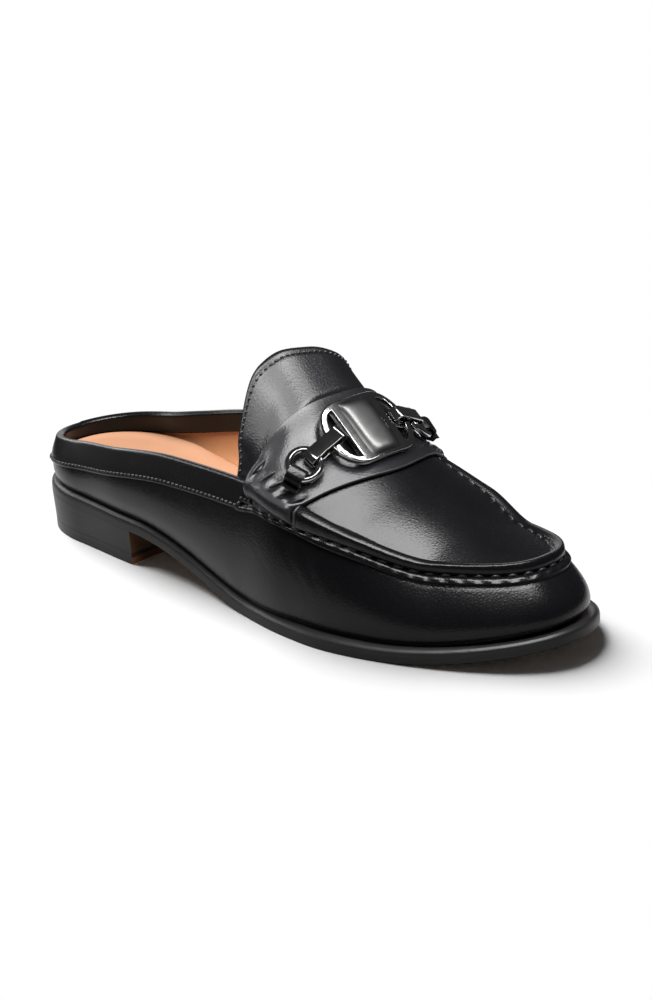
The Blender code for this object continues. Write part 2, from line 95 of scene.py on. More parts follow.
# Sole and heel heights.
HEEL_HEIGHT = 15.7
HEEL_DROP = 1.7
BREAST = 71.5
BREAST_HOLLOW = 2.0
WAIST_FROM = 73.0
TREAD_FROM = 151.0
TREAD_TO = 205.0
TOE_SPRING = 7.6
SPRING_POWER = 1.8
SOLE = 5.0
# Rounded lip of the sole: height above its underside, and mm in from its outline.
SOLE_EDGE = ((0.0, 0.1), (0.3, 0.0), (2.4, 0.0), (3.9, 0.3), (SOLE, 1.3))
LIFT = 4.5
LIFT_STEP = 0.1
HEEL_INSET = 0.7
HEEL_PRESS = 0.05
HEEL_HOLLOW_LENGTH = 12.0
# Dark layer of the heel's breast: the heights where it fades in and out, and its colour.
HEEL_DARK_FROM = (2.6, 2.8)
HEEL_DARK_TO = (4.3, 4.6)
HEEL_DARK = (0.012, 0.010, 0.009, 1.0)
# Height of the sock above the sole, with its cushion under the heel.
INSOLE = (
    (0, 9.6), (25, 10.5), (45, 11.0), (60, 9.4), (75, 7.4),
    (100, 5.0), (130, 3.4), (160, 2.5), (262, 2.2),
)
SEAT_GAP = 0.3
# Edge of the sock from below upwards: mm in from its line, share of its height, share of its swell.
SOCK_EDGE = (
    (0.4, 0.0, 0.0), (0.0, 0.3, 0.2), (-0.2, 0.6, 0.7),
    (-0.3, 0.9, 1.0), (0.0, 1.0, 1.0), (0.5, 1.02, 1.0),
)
SOCK_CLEAR = 0.9
SOCK_SWELL = 0.7
SOCK_SWELL_FROM = (2.5, 8.0)
SOCK_DISH = 0.9
SOCK_DISH_EDGE = 9.0
SOCK_DISH_WIDTH = 30.0

# Upper: the line of its lower edge, its top line, and the crest of the instep.
WALL = 1.6
# Lower edge of the upper, mm in from the outline, and how far the wall swells between it and the top line.
FEATHER_INSET = ((0, 2.6), (40, 2.6), (110, 2.0), (150, 2.6), (185, 4.4), (262, 4.6))
BULGE = ((0, 1.6), (40, 3.2), (110, 4.6), (150, 3.8), (190, 2.6), (230, 3.4), (262, 4.2))
BULGE_POWER = 0.75
TOP_BACK = 3.8
TOP_TIP = 246.0
TOP_HALF = (
    (0, 23.6), (34, 24.3), (66, 29.4), (110, 32.1), (150, 35.4),
    (165, 37.4), (195, 34.6), (220, 28.6), (250, 26.0),
)
TOP_HEIGHT = (
    (0, 35.6), (50, 43.1), (100, 50.1), (150, 51.5),
    (165, 48.6), (195, 39.5), (220, 31.8), (246, 32.0),
)
MEDIAL_RISE = ((0, 0.2), (12, 0.3), (30, 0.1), (50, 0.8), (75, 1.4), (110, 0.9), (150, 0.0))
TOP_SWING = 2.5
TOP_SWING_FROM = 170.0
TOP_ROUND_FROM = 188.0
TOP_ROUND_POWER = 2.5
TOP_HEEL_ROUND = 34.0
TOP_BACK_TO = 60.0
TOP_TIP_FROM = 150.0
CREST = (
    (130, 114.0), (136, 104.4), (142, 95.5), (157, 78.8), (171, 64.9),
    (185, 55.6), (195, 49.6), (220, 38.4), (240, 33.1), (246, 32.0),
)
ARCH_POWER = ((138, 3.3), (148, 3.2), (157, 2.95), (171, 2.35), (246, 2.2))
THROAT = 159.0

# Apron seam by station of the top line: a corded ridge, a stitched valley, then a puckered flange.
# Where the ridge and the flange rise out of the wall, from and to.
RIDGE_FROM = (149.0, 152.0)
FLANGE_FROM = (142.5, 143.6)
RIDGE = ((150, 1.2), (168, 1.2), (172.5, 2.4), (177, 3.2), (200, 3.5), (246, 3.4))
RIDGE_MEDIAL = ((150, 1.2), (168, 1.2), (172.5, 2.1), (185, 2.4), (225, 2.5), (246, 3.4))
RIDGE_INWARDS = 2.4
VALLEY = (
    (144, 8.0), (150, 7.2), (160, 6.1), (174, 5.1), (181, 4.0),
    (193, 2.6), (205, 2.0), (220, 1.7), (246, 1.6),
)
VALLEY_HEIGHT = 0.35
FLANGE = 1.25
STEP = (
    (144, 10.2), (150, 9.2), (160, 8.0), (174, 6.8), (181, 6.6),
    (193, 5.6), (205, 4.9), (225, 4.6), (240, 4.4), (246, 4.0),
)
# Cut edge of the flange: mm below its rim, and mm out of the wall.
FLANGE_EDGE = ((0.10, FLANGE - 0.12), (0.26, 0.45), (0.36, -0.05), (0.7, -0.12), (1.4, 0.0))
RIDGE_POWER = 0.62
RIDGE_PUCKER = 0.08
FLANGE_PUCKER = 0.20
RIDGE_ROWS = 11
FLANGE_ROWS = 9
WALL_ROWS = 21
# Columns of the apron: mm in from the seam for the close ones, and how many lie between.
APRON_EDGE = (0.0, 0.25, 0.5, 0.8, 1.1, 1.4, 1.7, 2.0, 2.25, 2.5, 2.8, 3.3, 4.0)
APRON_MIDDLE = 41
APRON_NARROW = 9.0
APRON_STITCH_COLUMN = 11
APRON_STITCH_FROM = 144.2
# Rows of the apron left unsewn at its throat and at its toe.
APRON_UNSEWN = (8, 12)
SEAM_WALL = 1.3
CORNER_LOOP = 173.0
REAR_SPACING = 1.7
FRONT_SPACING = 0.85
CLOSER_FROM = (135.0, 160.0)

# Soft creases: side, station, mm below the top line, length, breadth, lean towards the toe, depth.
CREASES = (
    (-1, 172.0, 19.0, 11.0, 1.3, 0.9, 0.06),
    (-1, 178.5, 16.0, 14.0, 1.6, 0.5, 0.08),
    (-1, 188.0, 17.0, 9.0, 1.2, -0.2, 0.05),
    (-1, 158.0, 24.0, 10.0, 1.4, 1.2, 0.05),
    (1, 176.0, 18.0, 12.0, 1.4, 0.6, 0.07),
    (1, 186.0, 15.0, 13.0, 1.5, 0.2, 0.06),
)
CREASES_FROM = (9.0, 12.0)
# Shallow rolls across the apron: station, breadth, depth.
ROLLS = ((193.0, 6.0, 0.06), (204.0, 6.0, -0.04))
ROLLS_FROM = (4.0, 14.0)

# Collar binding, saddle strap and tongue.
BAND = 0.7
BAND_GAP = 0.25
BAND_DEPTH = 10.0
BAND_INSIDE = 8.0
BAND_END = 151.0
BAND_END_DEPTH = 6.8
BAND_REACH = 12
BAND_SQUARE = 0.7
BAND_STITCH = 1.3
# Edges of the binding: mm past its depth, and mm out of the wall, or in from its back.
BAND_FOOT = ((-0.1, 0.02), (0.12, 0.25), (0.1, 0.6), (-0.15, 0.88))
BAND_HEM = ((0.0, 0.12), (0.05, 0.4), (-0.1, 0.68))
BAND_TAPER = (143.0, 144.8)
SADDLE = 1.6
# Stations of the strap's edges, in the middle and at its ends.
SADDLE_REAR = (157.0, 147.6)
SADDLE_FRONT = (185.5, 172.0)
SADDLE_WRAP = 4.7
SADDLE_SKIVE = 0.3
SADDLE_SKIVE_TO = 0.3
SADDLE_DROP = 0.45
SADDLE_DROP_TO = 0.2
SADDLE_FLAT = (0.75, 0.95)
# Roll at both ends of the strap, from and to shares of the half width. Its tables go by mm down the wall.
ROLL_FROM = 0.915
ROLL_TO = 0.995
ROLL_PINCH = 0.6
ROLL_RISE = 2.5
ROLL_END = 2.4
ROLL_UNDER = ((0, 2.5), (1.2, 2.4), (2.4, 2.05), (3.6, 1.5), (4.7, 0.9))
ROLL_THICK = ((0, 1.6), (2.4, 1.45), (3.8, 1.0), (4.7, 0.5))
WHIPS = 5
WHIP_RADIUS = 0.55
WHIP_REACH = (0.045, 0.052)
PUCKER = 0.28
PUCKER_REACH = 0.07
PUCKER_TO = 0.96
TONGUE = 1.8
# Station of the free edge, in the middle and at the sides.
TONGUE_EDGE = (142.4, 136.4)
TONGUE_TILT = 2.2
# Shoulders of the free edge: place across, breadth, mm towards the toe.
TONGUE_SHOULDERS = ((-0.72, 0.14, -1.2), (0.42, 0.25, 1.6))
TONGUE_ROOT = 170.0
TONGUE_CLEAR = 3.4
TONGUE_LOW = 2.0
TONGUE_FLARE = 2.4
TONGUE_FLARE_ABOVE = (3.0, 15.0)
TONGUE_FLARE_TO = (136.0, 148.0)
TONGUE_SLOPE = 0.65
TONGUE_SUNK = 0.3
TONGUE_SUNK_MORE = 0.5
TONGUE_SUNK_FROM = 155.0
TONGUE_STITCH = 2.4
TONGUE_TROUGH = 0.3
TONGUE_TROUGH_WIDTH = 0.75
TONGUE_TURN = 1.2

# Bit: leather tabs, rings, flat link bands and a plain centre plate with a D loop at each end.
RING_X = 26.3
RING_S = 167.4
RING_LIFT = 1.9
RING_R = 5.7
WIRE = 1.4
PLATE_X = 0.0
PLATE_S = 170.0
PLATE_HALF = 8.6
PLATE_LIFT = 2.7
PLATE_THICK = 2.4
PLATE_BEND = 0.0055
PLATE_BEVEL = 0.55
BEND_REACH = 19.0
DOME_POINTS = 41
DOME_POWERS = (3.2, 4.0)
DOME_RISE = 1.3
DOME_SUNK = 0.2
DOME_MARGIN = (0.9, 1.1)
LOOP_DEPTH = 11.0
LOOP_HALF = 13.3
LOOP_BAND = 3.2
LOOP_BAR = 2.4
LINK_WIDTH = 5.4
LINK_WALL = 0.9
LINK_CLEAR = 1.0
LINK_BEVEL = 0.3
LINK_SLACK = (1.4, 5.2)
TAB_WIDTH = 6.4
TAB_WALL = 1.1
TAB_TAIL = 4.4
TAB_TAIL_FACES = (-0.1, 1.2)
TAB_CLEAR = 0.15
TAB_BEVEL = 0.2

# Stitches: each one's length, how far along its pitch it starts, and its thickness, as shares.
VALLEY_STITCH = (0.74, 0.13, 1.0)
APRON_STITCH = (0.6, 0.2, 0.8)
CORNER_STITCH = (0.98, 0.01, 0.85)
WHIP_STITCH = (0.96, 0.02, 1.0)
STITCH_AROUND = 8
STITCH_STEPS = 9
STITCH_RISE = 1.25
STITCH_SUNK = 0.85
STITCH_ENDS = 0.55
STITCH_FLAT = 0.85
EDGE_STITCH = 0.66
EDGE_STITCH_START = 0.4

# The pale sheet that the shoe stands on: half its breadth and length, in metres.
FLOOR_HALF = (0.15, 0.26)

# The light on the floor, a wide sun behind the heel: where it stands, and its breadth in degrees.
OVERHEAD_FROM = (0.0, 0.75, 1.0)
OVERHEAD_ANGLE = 40.0

# Soft boxes: name, place and size in metres, the power it takes a share of, the share, and what it lights.
SOFTBOXES = (
    ("key_softbox", (-0.145, -0.251, 1.164), (1.15, 0.66), "key", 1.0, "leather"),
    ("sock_softbox", (-0.145, -0.251, 1.164), (1.15, 0.66), "key", 0.52, "sock"),
    ("tongue_softbox", (-0.491, -0.718, 0.972), (2.25, 0.86), "tongue", 1.0, "flap_and_saddle"),
    ("tongue_right_box", (0.31, -0.757, 1.031), (0.80, 0.78), "tongue", 0.27, "flap_and_saddle"),
    ("tongue_side_box", (-1.05, 0.05, 0.62), (1.2, 0.8), "tongue", 0.277, "flap"),
    ("saddle_side_box", (-0.925, 0.337, 0.77), (1.6, 1.0), "tongue", 0.123, "saddle"),
    ("backdrop", (0.74, 1.18, 0.32), (1.3, 0.6), "backdrop", 1.0, "shoe"),
    ("heel_side_card", (-0.64, 1.10, 0.20), (1.1, 0.5), "backdrop", 0.12, "shoe"),
    ("rim_strip", (-0.31, 1.15, 0.53), (1.2, 0.25), "backdrop", 3.5, "leather"),
    ("metal_strip_front", (-0.46, -0.66, 0.89), (0.90, 0.10), "strips", 1.0, "metal"),
    ("metal_strip_side", (0.42, -0.42, 1.04), (0.10, 0.80), "strips", 1.0, "metal"),
)

# Camera: where it stands, what it looks at and how far it rolls, for a 652 by 1000 picture.
VIEW_FROM = (-0.5789, -0.6263, 0.3323)
VIEW_TO = (0.0067, -0.0078, 0.0310)
VIEW_ROLL = -2.109
VIEW_LENS = 86.0
VIEW_SENSOR = 36.0
VIEW_NEAR = 0.01


def ease(low, high, x):
    t = np.clip((np.asarray(x, float) - low) / (high - low), 0.0, 1.0)
    return t * t * (3.0 - 2.0 * t)


def through(table, x):
    """A smooth curve through a short table of pairs, flat beyond both ends, with no overshoot."""
    xs, ys = np.array(table, float).T
    x = np.clip(np.asarray(x, float), xs[0], xs[-1])
    step = np.diff(xs)
    slope = np.diff(ys) / step
    tangent = np.zeros(len(xs))
    rising = slope[:-1] * slope[1:] > 0
    both = np.where(rising, slope[:-1] + slope[1:], 1.0)
    tangent[1:-1] = np.where(rising, 2.0 * slope[:-1] * slope[1:] / both, 0.0)
    tangent[0], tangent[-1] = slope[0], slope[-1]
    i = np.clip(np.searchsorted(xs, x) - 1, 0, len(step) - 1)
    t = (x - xs[i]) / step[i]
    a = (2 * t**3 - 3 * t**2 + 1) * ys[i] + (t**3 - 2 * t**2 + t) * step[i] * tangent[i]
    b = (3 * t**2 - 2 * t**3) * ys[i + 1] + (t**3 - t**2) * step[i] * tangent[i + 1]
    return a + b


def rounded(t, power):
    """1 at t = 0, falling to 0 at t = 1 like the end of a superellipse."""
    return np.maximum(1.0 - np.clip(t, 0.0, 1.0) ** power, 0.0) ** (1.0 / power)


def sole_half(s, side):
    width = through(LATERAL_HALF if side < 0 else MEDIAL_HALF, s)
    width = width * rounded((s - TOE_ROUND_FROM) / (LENGTH - TOE_ROUND_FROM), TOE_POWER)
    return width * rounded((HEEL_ROUND - s) / HEEL_ROUND, HEEL_POWER)


def swing(s):
    return SWING * ease(SWING_FROM, LENGTH, s)


def sole_bottom(s):
    seat = HEEL_HEIGHT - HEEL_DROP * np.minimum(s, WAIST_FROM) / WAIST_FROM
    waist = seat * (1.0 - ease(WAIST_FROM, TREAD_FROM, s))
    return waist + TOE_SPRING * np.clip((s - TREAD_TO) / (LENGTH - TREAD_TO), 0, 1) ** SPRING_POWER


def seat_line(s):
    """The top of the heel, pressed against the sole."""
    return sole_bottom(s) + HEEL_PRESS


def top_half(s):
    width = through(TOP_HALF, s)
    width = width * rounded((s - TOP_ROUND_FROM) / (TOP_TIP - TOP_ROUND_FROM), TOP_ROUND_POWER)
    return width * rounded((TOP_HEEL_ROUND - s) / (TOP_HEEL_ROUND - TOP_BACK), HEEL_POWER)


def top_centre(s):
    return swing(s) + TOP_SWING * ease(TOP_SWING_FROM, TOP_TIP, s)


def top_station(s):
    """Where along the foot the top line stands above outline station s."""
    back = TOP_BACK * (1.0 - ease(0.0, TOP_BACK_TO, s))
    return s + back - (LENGTH - TOP_TIP) * ease(TOP_TIP_FROM, LENGTH, s)


def outline_station(top):
    s = np.array(top, float)
    for _ in range(12):
        s = s + (top - top_station(s))
    return s


def close_stations():
    """Stations from heel to toe, evenly spaced round the outline and closer together along the seam."""
    s = LENGTH * (1.0 - np.cos(np.pi * np.linspace(0.0, 1.0, 6001))) / 2.0
    plan = np.stack([sole_half(s, -1), s], 1)
    step = np.linalg.norm(np.diff(plan, axis=0), axis=1)
    spacing = REAR_SPACING + (FRONT_SPACING - REAR_SPACING) * ease(*CLOSER_FROM, s[1:])
    count = np.concatenate([[0.0], np.cumsum(step / spacing)])
    s = np.interp(np.linspace(0.0, count[-1], int(count[-1]) + 1), count, s)
    throat = outline_station(np.array(THROAT))
    s[int(np.argmin(np.abs(s - throat)))] = throat
    return s


def outline_loop(s):
    """Plan points (x, s) and outward normals: heel, lateral side, toe, medial side."""
    lateral = np.stack([swing(s) - sole_half(s, -1), s], 1)
    medial = np.stack([swing(s) + sole_half(s, 1), s], 1)
    loop = np.concatenate([lateral, medial[-2:0:-1]])
    along = np.roll(loop, -1, 0) - np.roll(loop, 1, 0)
    normal = np.stack([-along[:, 1], along[:, 0]], 1)
    return loop, normal / np.linalg.norm(normal, axis=1)[:, None]


def middle_of_width():
    """The x halfway between the widest points of the solid's own sections."""
    s = LENGTH * (1.0 - np.cos(np.pi * np.arange(45) / 44)) / 2.0
    lowest = (swing(s) - sole_half(s, -1)).min()
    highest = (swing(s) + sole_half(s, 1)).max()
    return (lowest + highest) / 2.0


S = close_stations()
LAST = len(S) - 1
LOOP, LOOP_OUT = outline_loop(S)
MID_X = middle_of_width()
SIDE = np.where(np.arange(len(LOOP)) <= LAST, -1.0, 1.0)
THROAT_K = int(np.argmin(np.abs(top_station(S) - THROAT)))
SEAM_K = np.arange(THROAT_K, 2 * LAST - THROAT_K + 1)


def unit(v):
    return v / np.maximum(np.linalg.norm(v, axis=-1), 1e-9)[..., None]


def at_height(plan, z):
    return np.concatenate([plan, np.asarray(z, float)[:, None]], 1)


def to_world(points):
    """From (x, s, z) in millimetres to the part's frame in metres."""
    p = np.asarray(points, float)
    return np.stack([p[..., 0] - MID_X, LENGTH / 2.0 - p[..., 1], p[..., 2]], -1) * MM


def wrap(rows):
    return np.concatenate([rows, rows[:, :1]], 1)


def cap(loop, columns):
    """Rows across a closed loop, joining each lateral point to the medial one beside it."""
    n = len(loop)
    half = n // 2
    lateral = loop[: half + 1]
    medial = loop[[(n - k) % n for k in range(half + 1)]]
    t = np.linspace(0.0, 1.0, columns + 1)[None, :, None]
    return lateral[:, None] * (1.0 - t) + medial[:, None] * t


def normals(grid, closed=False):
    """Unit normals of a grid of points, from the differences along its rows and columns."""
    down = np.gradient(grid, axis=0)
    if closed:
        across = (np.roll(grid, -1, 1) - np.roll(grid, 1, 1)) / 2.0
    else:
        across = np.gradient(grid, axis=1)
    return unit(np.cross(down, across))


def upwards(n):
    """The same normals, all turned over if they point down on the whole."""
    return n if n[..., 2].sum() > 0 else -n


def feather(s, out, plan):
    """The lower edge of the upper, on top of the sole and set in from its rim."""
    inset = through(FEATHER_INSET, s)[:, None]
    return at_height(plan - out * inset, sole_bottom(s) + SOLE + SEAT_GAP)


def top_line(s, side):
    top = top_station(s)
    height = through(TOP_HEIGHT, top) + np.where(side > 0, through(MEDIAL_RISE, top), 0.0)
    return np.stack([top_centre(top) + side * top_half(top), top, height], 1)


def wall_points(low, high, out, s, depth):
    """Points on the bulging wall, each at its depth below the top line."""
    reach = np.linalg.norm(high - low, axis=1)
    t = np.clip(1.0 - depth / reach, 0.0, 1.0)
    point = low * (1.0 - t)[:, None] + high * t[:, None]
    swell = through(BULGE, s) * np.sin(np.pi * t**BULGE_POWER)
    point[:, :2] += out * swell[:, None]
    return point


def wall_at(side, top, depth):
    """The wall on one side at stations of the top line, for pieces that lie over it."""
    s = outline_station(np.asarray(top, float))
    small = 0.5
    plan = np.stack([swing(s) + side * sole_half(s, side), s], 1)
    ahead = np.stack([swing(s + small) + side * sole_half(s + small, side), s + small], 1)
    along = ahead - plan
    out = unit(np.stack([side * along[:, 1], -side * along[:, 0]], 1))
    return wall_points(feather(s, out, plan), top_line(s, side), out, s, depth)


def crowded(count, share):
    """Numbers from -1 to 1 that crowd towards both ends, the more so the larger the share."""
    return np.sin(np.linspace(-1.0, 1.0, count) * np.pi / 2 * share) / math.sin(np.pi / 2 * share)


def arch(a, s, half=None, base=None):
    """The instep surface: a runs from -1 on the lateral top line to 1 on the medial one."""
    half = top_half(s) if half is None else half
    base = through(TOP_HEIGHT, s) if base is None else base
    rise = through(CREST, s) - base
    z = base + rise * (1.0 - np.abs(a) ** through(ARCH_POWER, s))
    return np.stack([top_centre(s) + a * half, s + 0.0 * a, z], -1)


class Value:
    """A socket in a node tree; Python's operators on it add Math nodes."""

    def __init__(self, nodes, socket):
        self.nodes = nodes
        self.socket = socket

    def maths(self, operation, first, second):
        return self.nodes.value("Math", {"operation": operation}, {0: first, 1: second})

    def __add__(self, other):
        return self.maths("ADD", self, other)

    def __radd__(self, other):
        return self.maths("ADD", other, self)

    def __sub__(self, other):
        return self.maths("SUBTRACT", self, other)

    def __rsub__(self, other):
        return self.maths("SUBTRACT", other, self)

    def __mul__(self, other):
        return self.maths("MULTIPLY", self, other)

    def __rmul__(self, other):
        return self.maths("MULTIPLY", other, self)


class Nodes:
    """A node tree under construction."""

    def __init__(self, tree):
        self.tree = tree

    def node(self, kind, settings, sockets):
        """A node of the kind named, its settings first, then a value or a link for each socket."""
        node = self.tree.nodes.new("ShaderNode" + kind)
        for setting, amount in settings.items():
            setattr(node, setting, amount)
        for socket, amount in sockets.items():
            self.feed(node.inputs[socket], amount)
        return node

    def feed(self, socket, amount):
        if isinstance(amount, Value):
            self.tree.links.new(amount.socket, socket)
        else:
            socket.default_value = amount

    def value(self, kind, settings, sockets, output=0):
        return Value(self, self.node(kind, settings, sockets).outputs[output])

    def mix(self, share, first, second):
        return self.value("Mix", {"data_type": "RGBA"}, {0: share, 6: first, 7: second}, 2)


class Finish(Nodes):
    """A material under construction, around one Principled shader."""

    def __init__(self, name, **uniform):
        self.material = bpy.data.materials.new(name)
        self.material.use_nodes = True
        super().__init__(self.material.node_tree)
        self.shader = self.tree.nodes["Principled BSDF"]
        for socket, amount in uniform.items():
            self.shader.inputs[socket.replace("_", " ")].default_value = amount

    def place(self):
        return self.value("TexCoord", {}, {}, "Object")

    def stretched(self, scale):
        return self.value("Mapping", {}, {"Vector": self.place(), "Scale": scale})

    def noise(self, size, detail=2.0, where=None):
        """Cloudy noise, with clouds about size millimetres across."""
        sockets = {"Vector": where or self.place(), "Scale": 1.0 / (size * MM), "Detail": detail}
        return self.value("TexNoise", {}, sockets)

    def cells(self, size):
        """Distance from the borders of leather pebbles of about size millimetres."""
        sockets = {"Vector": self.place(), "Scale": 1.0 / (size * MM)}
        return self.value("TexVoronoi", {"feature": "DISTANCE_TO_EDGE"}, sockets)

    def step(self, value, low, high):
        """0 below low, 1 above high, smooth between."""
        sockets = {"Value": value, "From Min": low, "From Max": high}
        return self.value("MapRange", {"interpolation_type": "SMOOTHSTEP"}, sockets)

    def colour(self, share, colour, darker, paler):
        """The base colour, between a darker and a paler shade of one colour."""
        mixed = self.mix(share, shade(colour, darker), shade(colour, paler))
        self.feed(self.shader.inputs["Base Color"], mixed)

    def roughness(self, value):
        self.feed(self.shader.inputs["Roughness"], value)

    def relief(self, height, depth):
        """Bump of a height from 0 to 1, depth in millimetres."""
        sockets = {"Height": height, "Distance": depth * MM, "Strength": 1.0}
        self.feed(self.shader.inputs["Normal"], self.value("Bump", {}, sockets))


def shade(colour, factor=1.0):
    return tuple(c * factor for c in colour[:3]) + (1.0,)


def black_leather(leather):
    """Smooth black calf: a fine pebbled grain, pores, and a polish that comes and goes."""
    finish = Finish("black_leather", Specular_IOR_Level=0.17)
    pebble = finish.step(finish.cells(leather.grain / MM), 0.0, 0.4)
    pores = finish.noise(0.35, 2.0)
    mottle = finish.noise(1.6, 1.0)
    cloud = finish.noise(14.0, 2.0)
    finish.relief(pebble * 0.45 + pores * 0.2 + mottle * 0.35, leather.grain_depth / MM)
    finish.colour(pebble * 0.6 + cloud * 0.4, leather.black, 0.75, 1.3)
    finish.roughness(leather.roughness - 0.05 + cloud * 0.08 + pores * 0.04)
    return finish.material


def painted_edge(leather, name="painted_edge"):
    """Cut leather edges, sealed and painted black, with the layers just showing."""
    finish = Finish(name, Specular_IOR_Level=0.17)
    layers = finish.noise(9.0, 3.0, finish.stretched((1.0, 1.0, 14.0)))
    grit = finish.noise(0.5, 3.0)
    finish.relief(layers * 0.6 + grit * 0.4, 0.09)
    finish.colour(layers, leather.edge, 0.7, 1.5)
    finish.roughness(0.30 + grit * 0.12 + layers * 0.06)
    return finish.material


def tan_leather(name, colour, coat):
    """Lining and sock leather: soft tan with a pale bloom, small pores and faint creasing."""
    finish = Finish(name, Coat_Roughness=0.35)
    cloud = finish.noise(11.0, 3.0)
    pores = finish.step(finish.cells(0.9), 0.0, 0.2)
    fibre = finish.noise(0.4, 3.0)
    finish.relief(pores * 0.5 + fibre * 0.5, 0.05)
    finish.colour(cloud * 0.6 + fibre * 0.4, colour, 0.86, 1.1)
    finish.roughness(0.50 + fibre * 0.12)
    finish.feed(finish.shader.inputs["Coat Weight"], coat * cloud)
    return finish.material


def heel_stack_leather(leather):
    """The bare breast of the heel: thin brown layers, one dark one, over an orange-brown lift."""
    finish = Finish("heel_stack_leather")
    height = finish.value("SeparateXYZ", {}, {0: finish.place()}, 2)
    layers = finish.noise(7.0, 4.0, finish.stretched((1.0, 1.0, 30.0)))
    grain = finish.noise(0.5, 3.0)
    above = finish.step(height, HEEL_DARK_TO[0] * MM, HEEL_DARK_TO[1] * MM)
    dark = finish.step(height, HEEL_DARK_FROM[0] * MM, HEEL_DARK_FROM[1] * MM) * (1 - above)
    brown = finish.mix(layers, shade(leather.stack, 0.6), shade(leather.stack, 1.5))
    lift = finish.mix(grain, shade(leather.lift, 0.75), shade(leather.lift, 1.2))
    body = finish.mix(above, lift, brown)
    finish.feed(finish.shader.inputs["Base Color"], finish.mix(dark, body, HEEL_DARK))
    finish.roughness(0.45 + layers * 0.2)
    finish.relief(layers * 0.7 + grain * 0.3, 0.12)
    return finish.material


def sole_leather(leather):
    """The tread: plain oak-tanned leather, buffed along the foot."""
    finish = Finish("sole_leather")
    brushed = finish.noise(6.0, 4.0, finish.stretched((6.0, 1.0, 1.0)))
    cloud = finish.noise(18.0, 3.0)
    finish.colour(brushed * 0.5 + cloud * 0.5, leather.tread, 0.75, 1.2)
    finish.roughness(0.42 + brushed * 0.2)
    finish.relief(brushed, 0.05)
    return finish.material


def waxed_thread(thread):
    """Black waxed thread, its twist just visible."""
    finish = Finish("waxed_thread", Specular_IOR_Level=0.3)
    twist = finish.noise(0.28, 2.0)
    finish.relief(twist, 0.10)
    finish.colour(twist, thread.colour, 0.6, 1.6)
    finish.roughness(0.26 + twist * 0.16)
    return finish.material


def dark_metal(metal, name, roughness, tone):
    """Dark nickel with faint polishing lines and softer patches; tone scales its colour."""
    finish = Finish(name, Metallic=1.0)
    cloud = finish.noise(3.0, 2.0)
    lines = finish.noise(0.5, 2.0, finish.stretched((1.0, 8.0, 8.0)))
    finish.colour(cloud, metal.colour, 0.85 * tone, 1.15 * tone)
    finish.roughness(roughness - 0.02 + cloud * 0.03 + lines * 0.02)
    finish.relief(lines, 0.002)
    return finish.material


MATERIALS = {}


def material(name, make, *sizes):
    """One material of each name, made the first time that a piece asks for it."""
    if name not in MATERIALS:
        MATERIALS[name] = make(*sizes)
    return MATERIALS[name]


def leather_of(context):
    return material("black_leather", black_leather, context.scene.mule_leather)


def edge_of(context):
    return material("painted_edge", painted_edge, context.scene.mule_leather)


def lining_of(context):
    leather = context.scene.mule_leather
    return material("lining", tan_leather, "tan_lining", leather.lining, 0.12)


def surface(name, patches, materials, sharp=40.0):
    """One object from grids of points with the number of their material, welded where they meet."""
    points = []
    faces = []
    kinds = []
    first = 0
    for grid, kind in patches:
        rows, columns = grid.shape[:2]
        points.append(grid.reshape(-1, 3))
        index = first + np.arange(rows * columns).reshape(rows, columns)
        first += rows * columns
        corners = (index[:-1, :-1], index[:-1, 1:], index[1:, 1:], index[1:, :-1])
        faces.append(np.stack(corners, -1).reshape(-1, 4))
        kinds.append(np.full((rows - 1) * (columns - 1), kind))
    points = np.round(np.concatenate(points), 4)
    points, order = np.unique(points, axis=0, return_inverse=True)
    order = order.reshape(-1)
    kept = []
    kept_kinds = []
    for face, kind in zip(order[np.concatenate(faces)].tolist(), np.concatenate(kinds).tolist()):
        corners = list(dict.fromkeys(face))
        if len(corners) > 2:
            kept.append(corners)
            kept_kinds.append(kind)
    mesh = bpy.data.meshes.new(name)
    mesh.from_pydata(to_world(points).tolist(), [], kept)
    mesh.polygons.foreach_set("material_index", kept_kinds)
    turn_outwards(mesh)
    return add(name, mesh, materials, sharp)


def turn_outwards(mesh):
    work = bmesh.new()
    work.from_mesh(mesh)
    bmesh.ops.recalc_face_normals(work, faces=work.faces)
    work.to_mesh(mesh)
    work.free()


def add(name, mesh, materials, sharp=40.0):
    for one in materials:
        mesh.materials.append(one)
    mesh.shade_smooth()
    mesh.set_sharp_from_angle(angle=math.radians(sharp))
    piece = bpy.data.objects.new(name, mesh)
    bpy.context.scene.collection.objects.link(piece)
    return piece


def settle(piece, slot, *nodes):
    """Puts a piece on the shoe, in place of the solids named."""
    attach(piece, "root")
    if nodes:
        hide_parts(*nodes)


def slab(name, top, bottom, materials, round_share=0.5):
    """A sheet between two grids, with a rounded rim; materials are top, rim and bottom."""
    rims = []
    edges = (
        (top[0], bottom[0], top[1]),
        (top[-1], bottom[-1], top[-2]),
        (top[:, 0], bottom[:, 0], top[:, 1]),
        (top[:, -1], bottom[:, -1], top[:, -2]),
    )
    for upper_edge, lower_edge, inside in edges:
        middle = (upper_edge + lower_edge) / 2.0
        half = (upper_edge - lower_edge) / 2.0
        bulge = unit(upper_edge - inside) * np.linalg.norm(half, axis=1)[:, None] * round_share
        turns = np.linspace(np.pi / 2, -np.pi / 2, 7)
        end = np.ones(len(half))
        end[0] = end[-1] = 0.0
        arcs = [middle + half * math.sin(t) + bulge * (math.cos(t) * end)[:, None] for t in turns]
        rims.append((np.stack(arcs), 1))
    return surface(name, [(top, 0), (bottom, 2)] + rims, materials)


def along_path(points):
    return np.concatenate([[0.0], np.cumsum(np.linalg.norm(np.diff(points, axis=0), axis=1))])


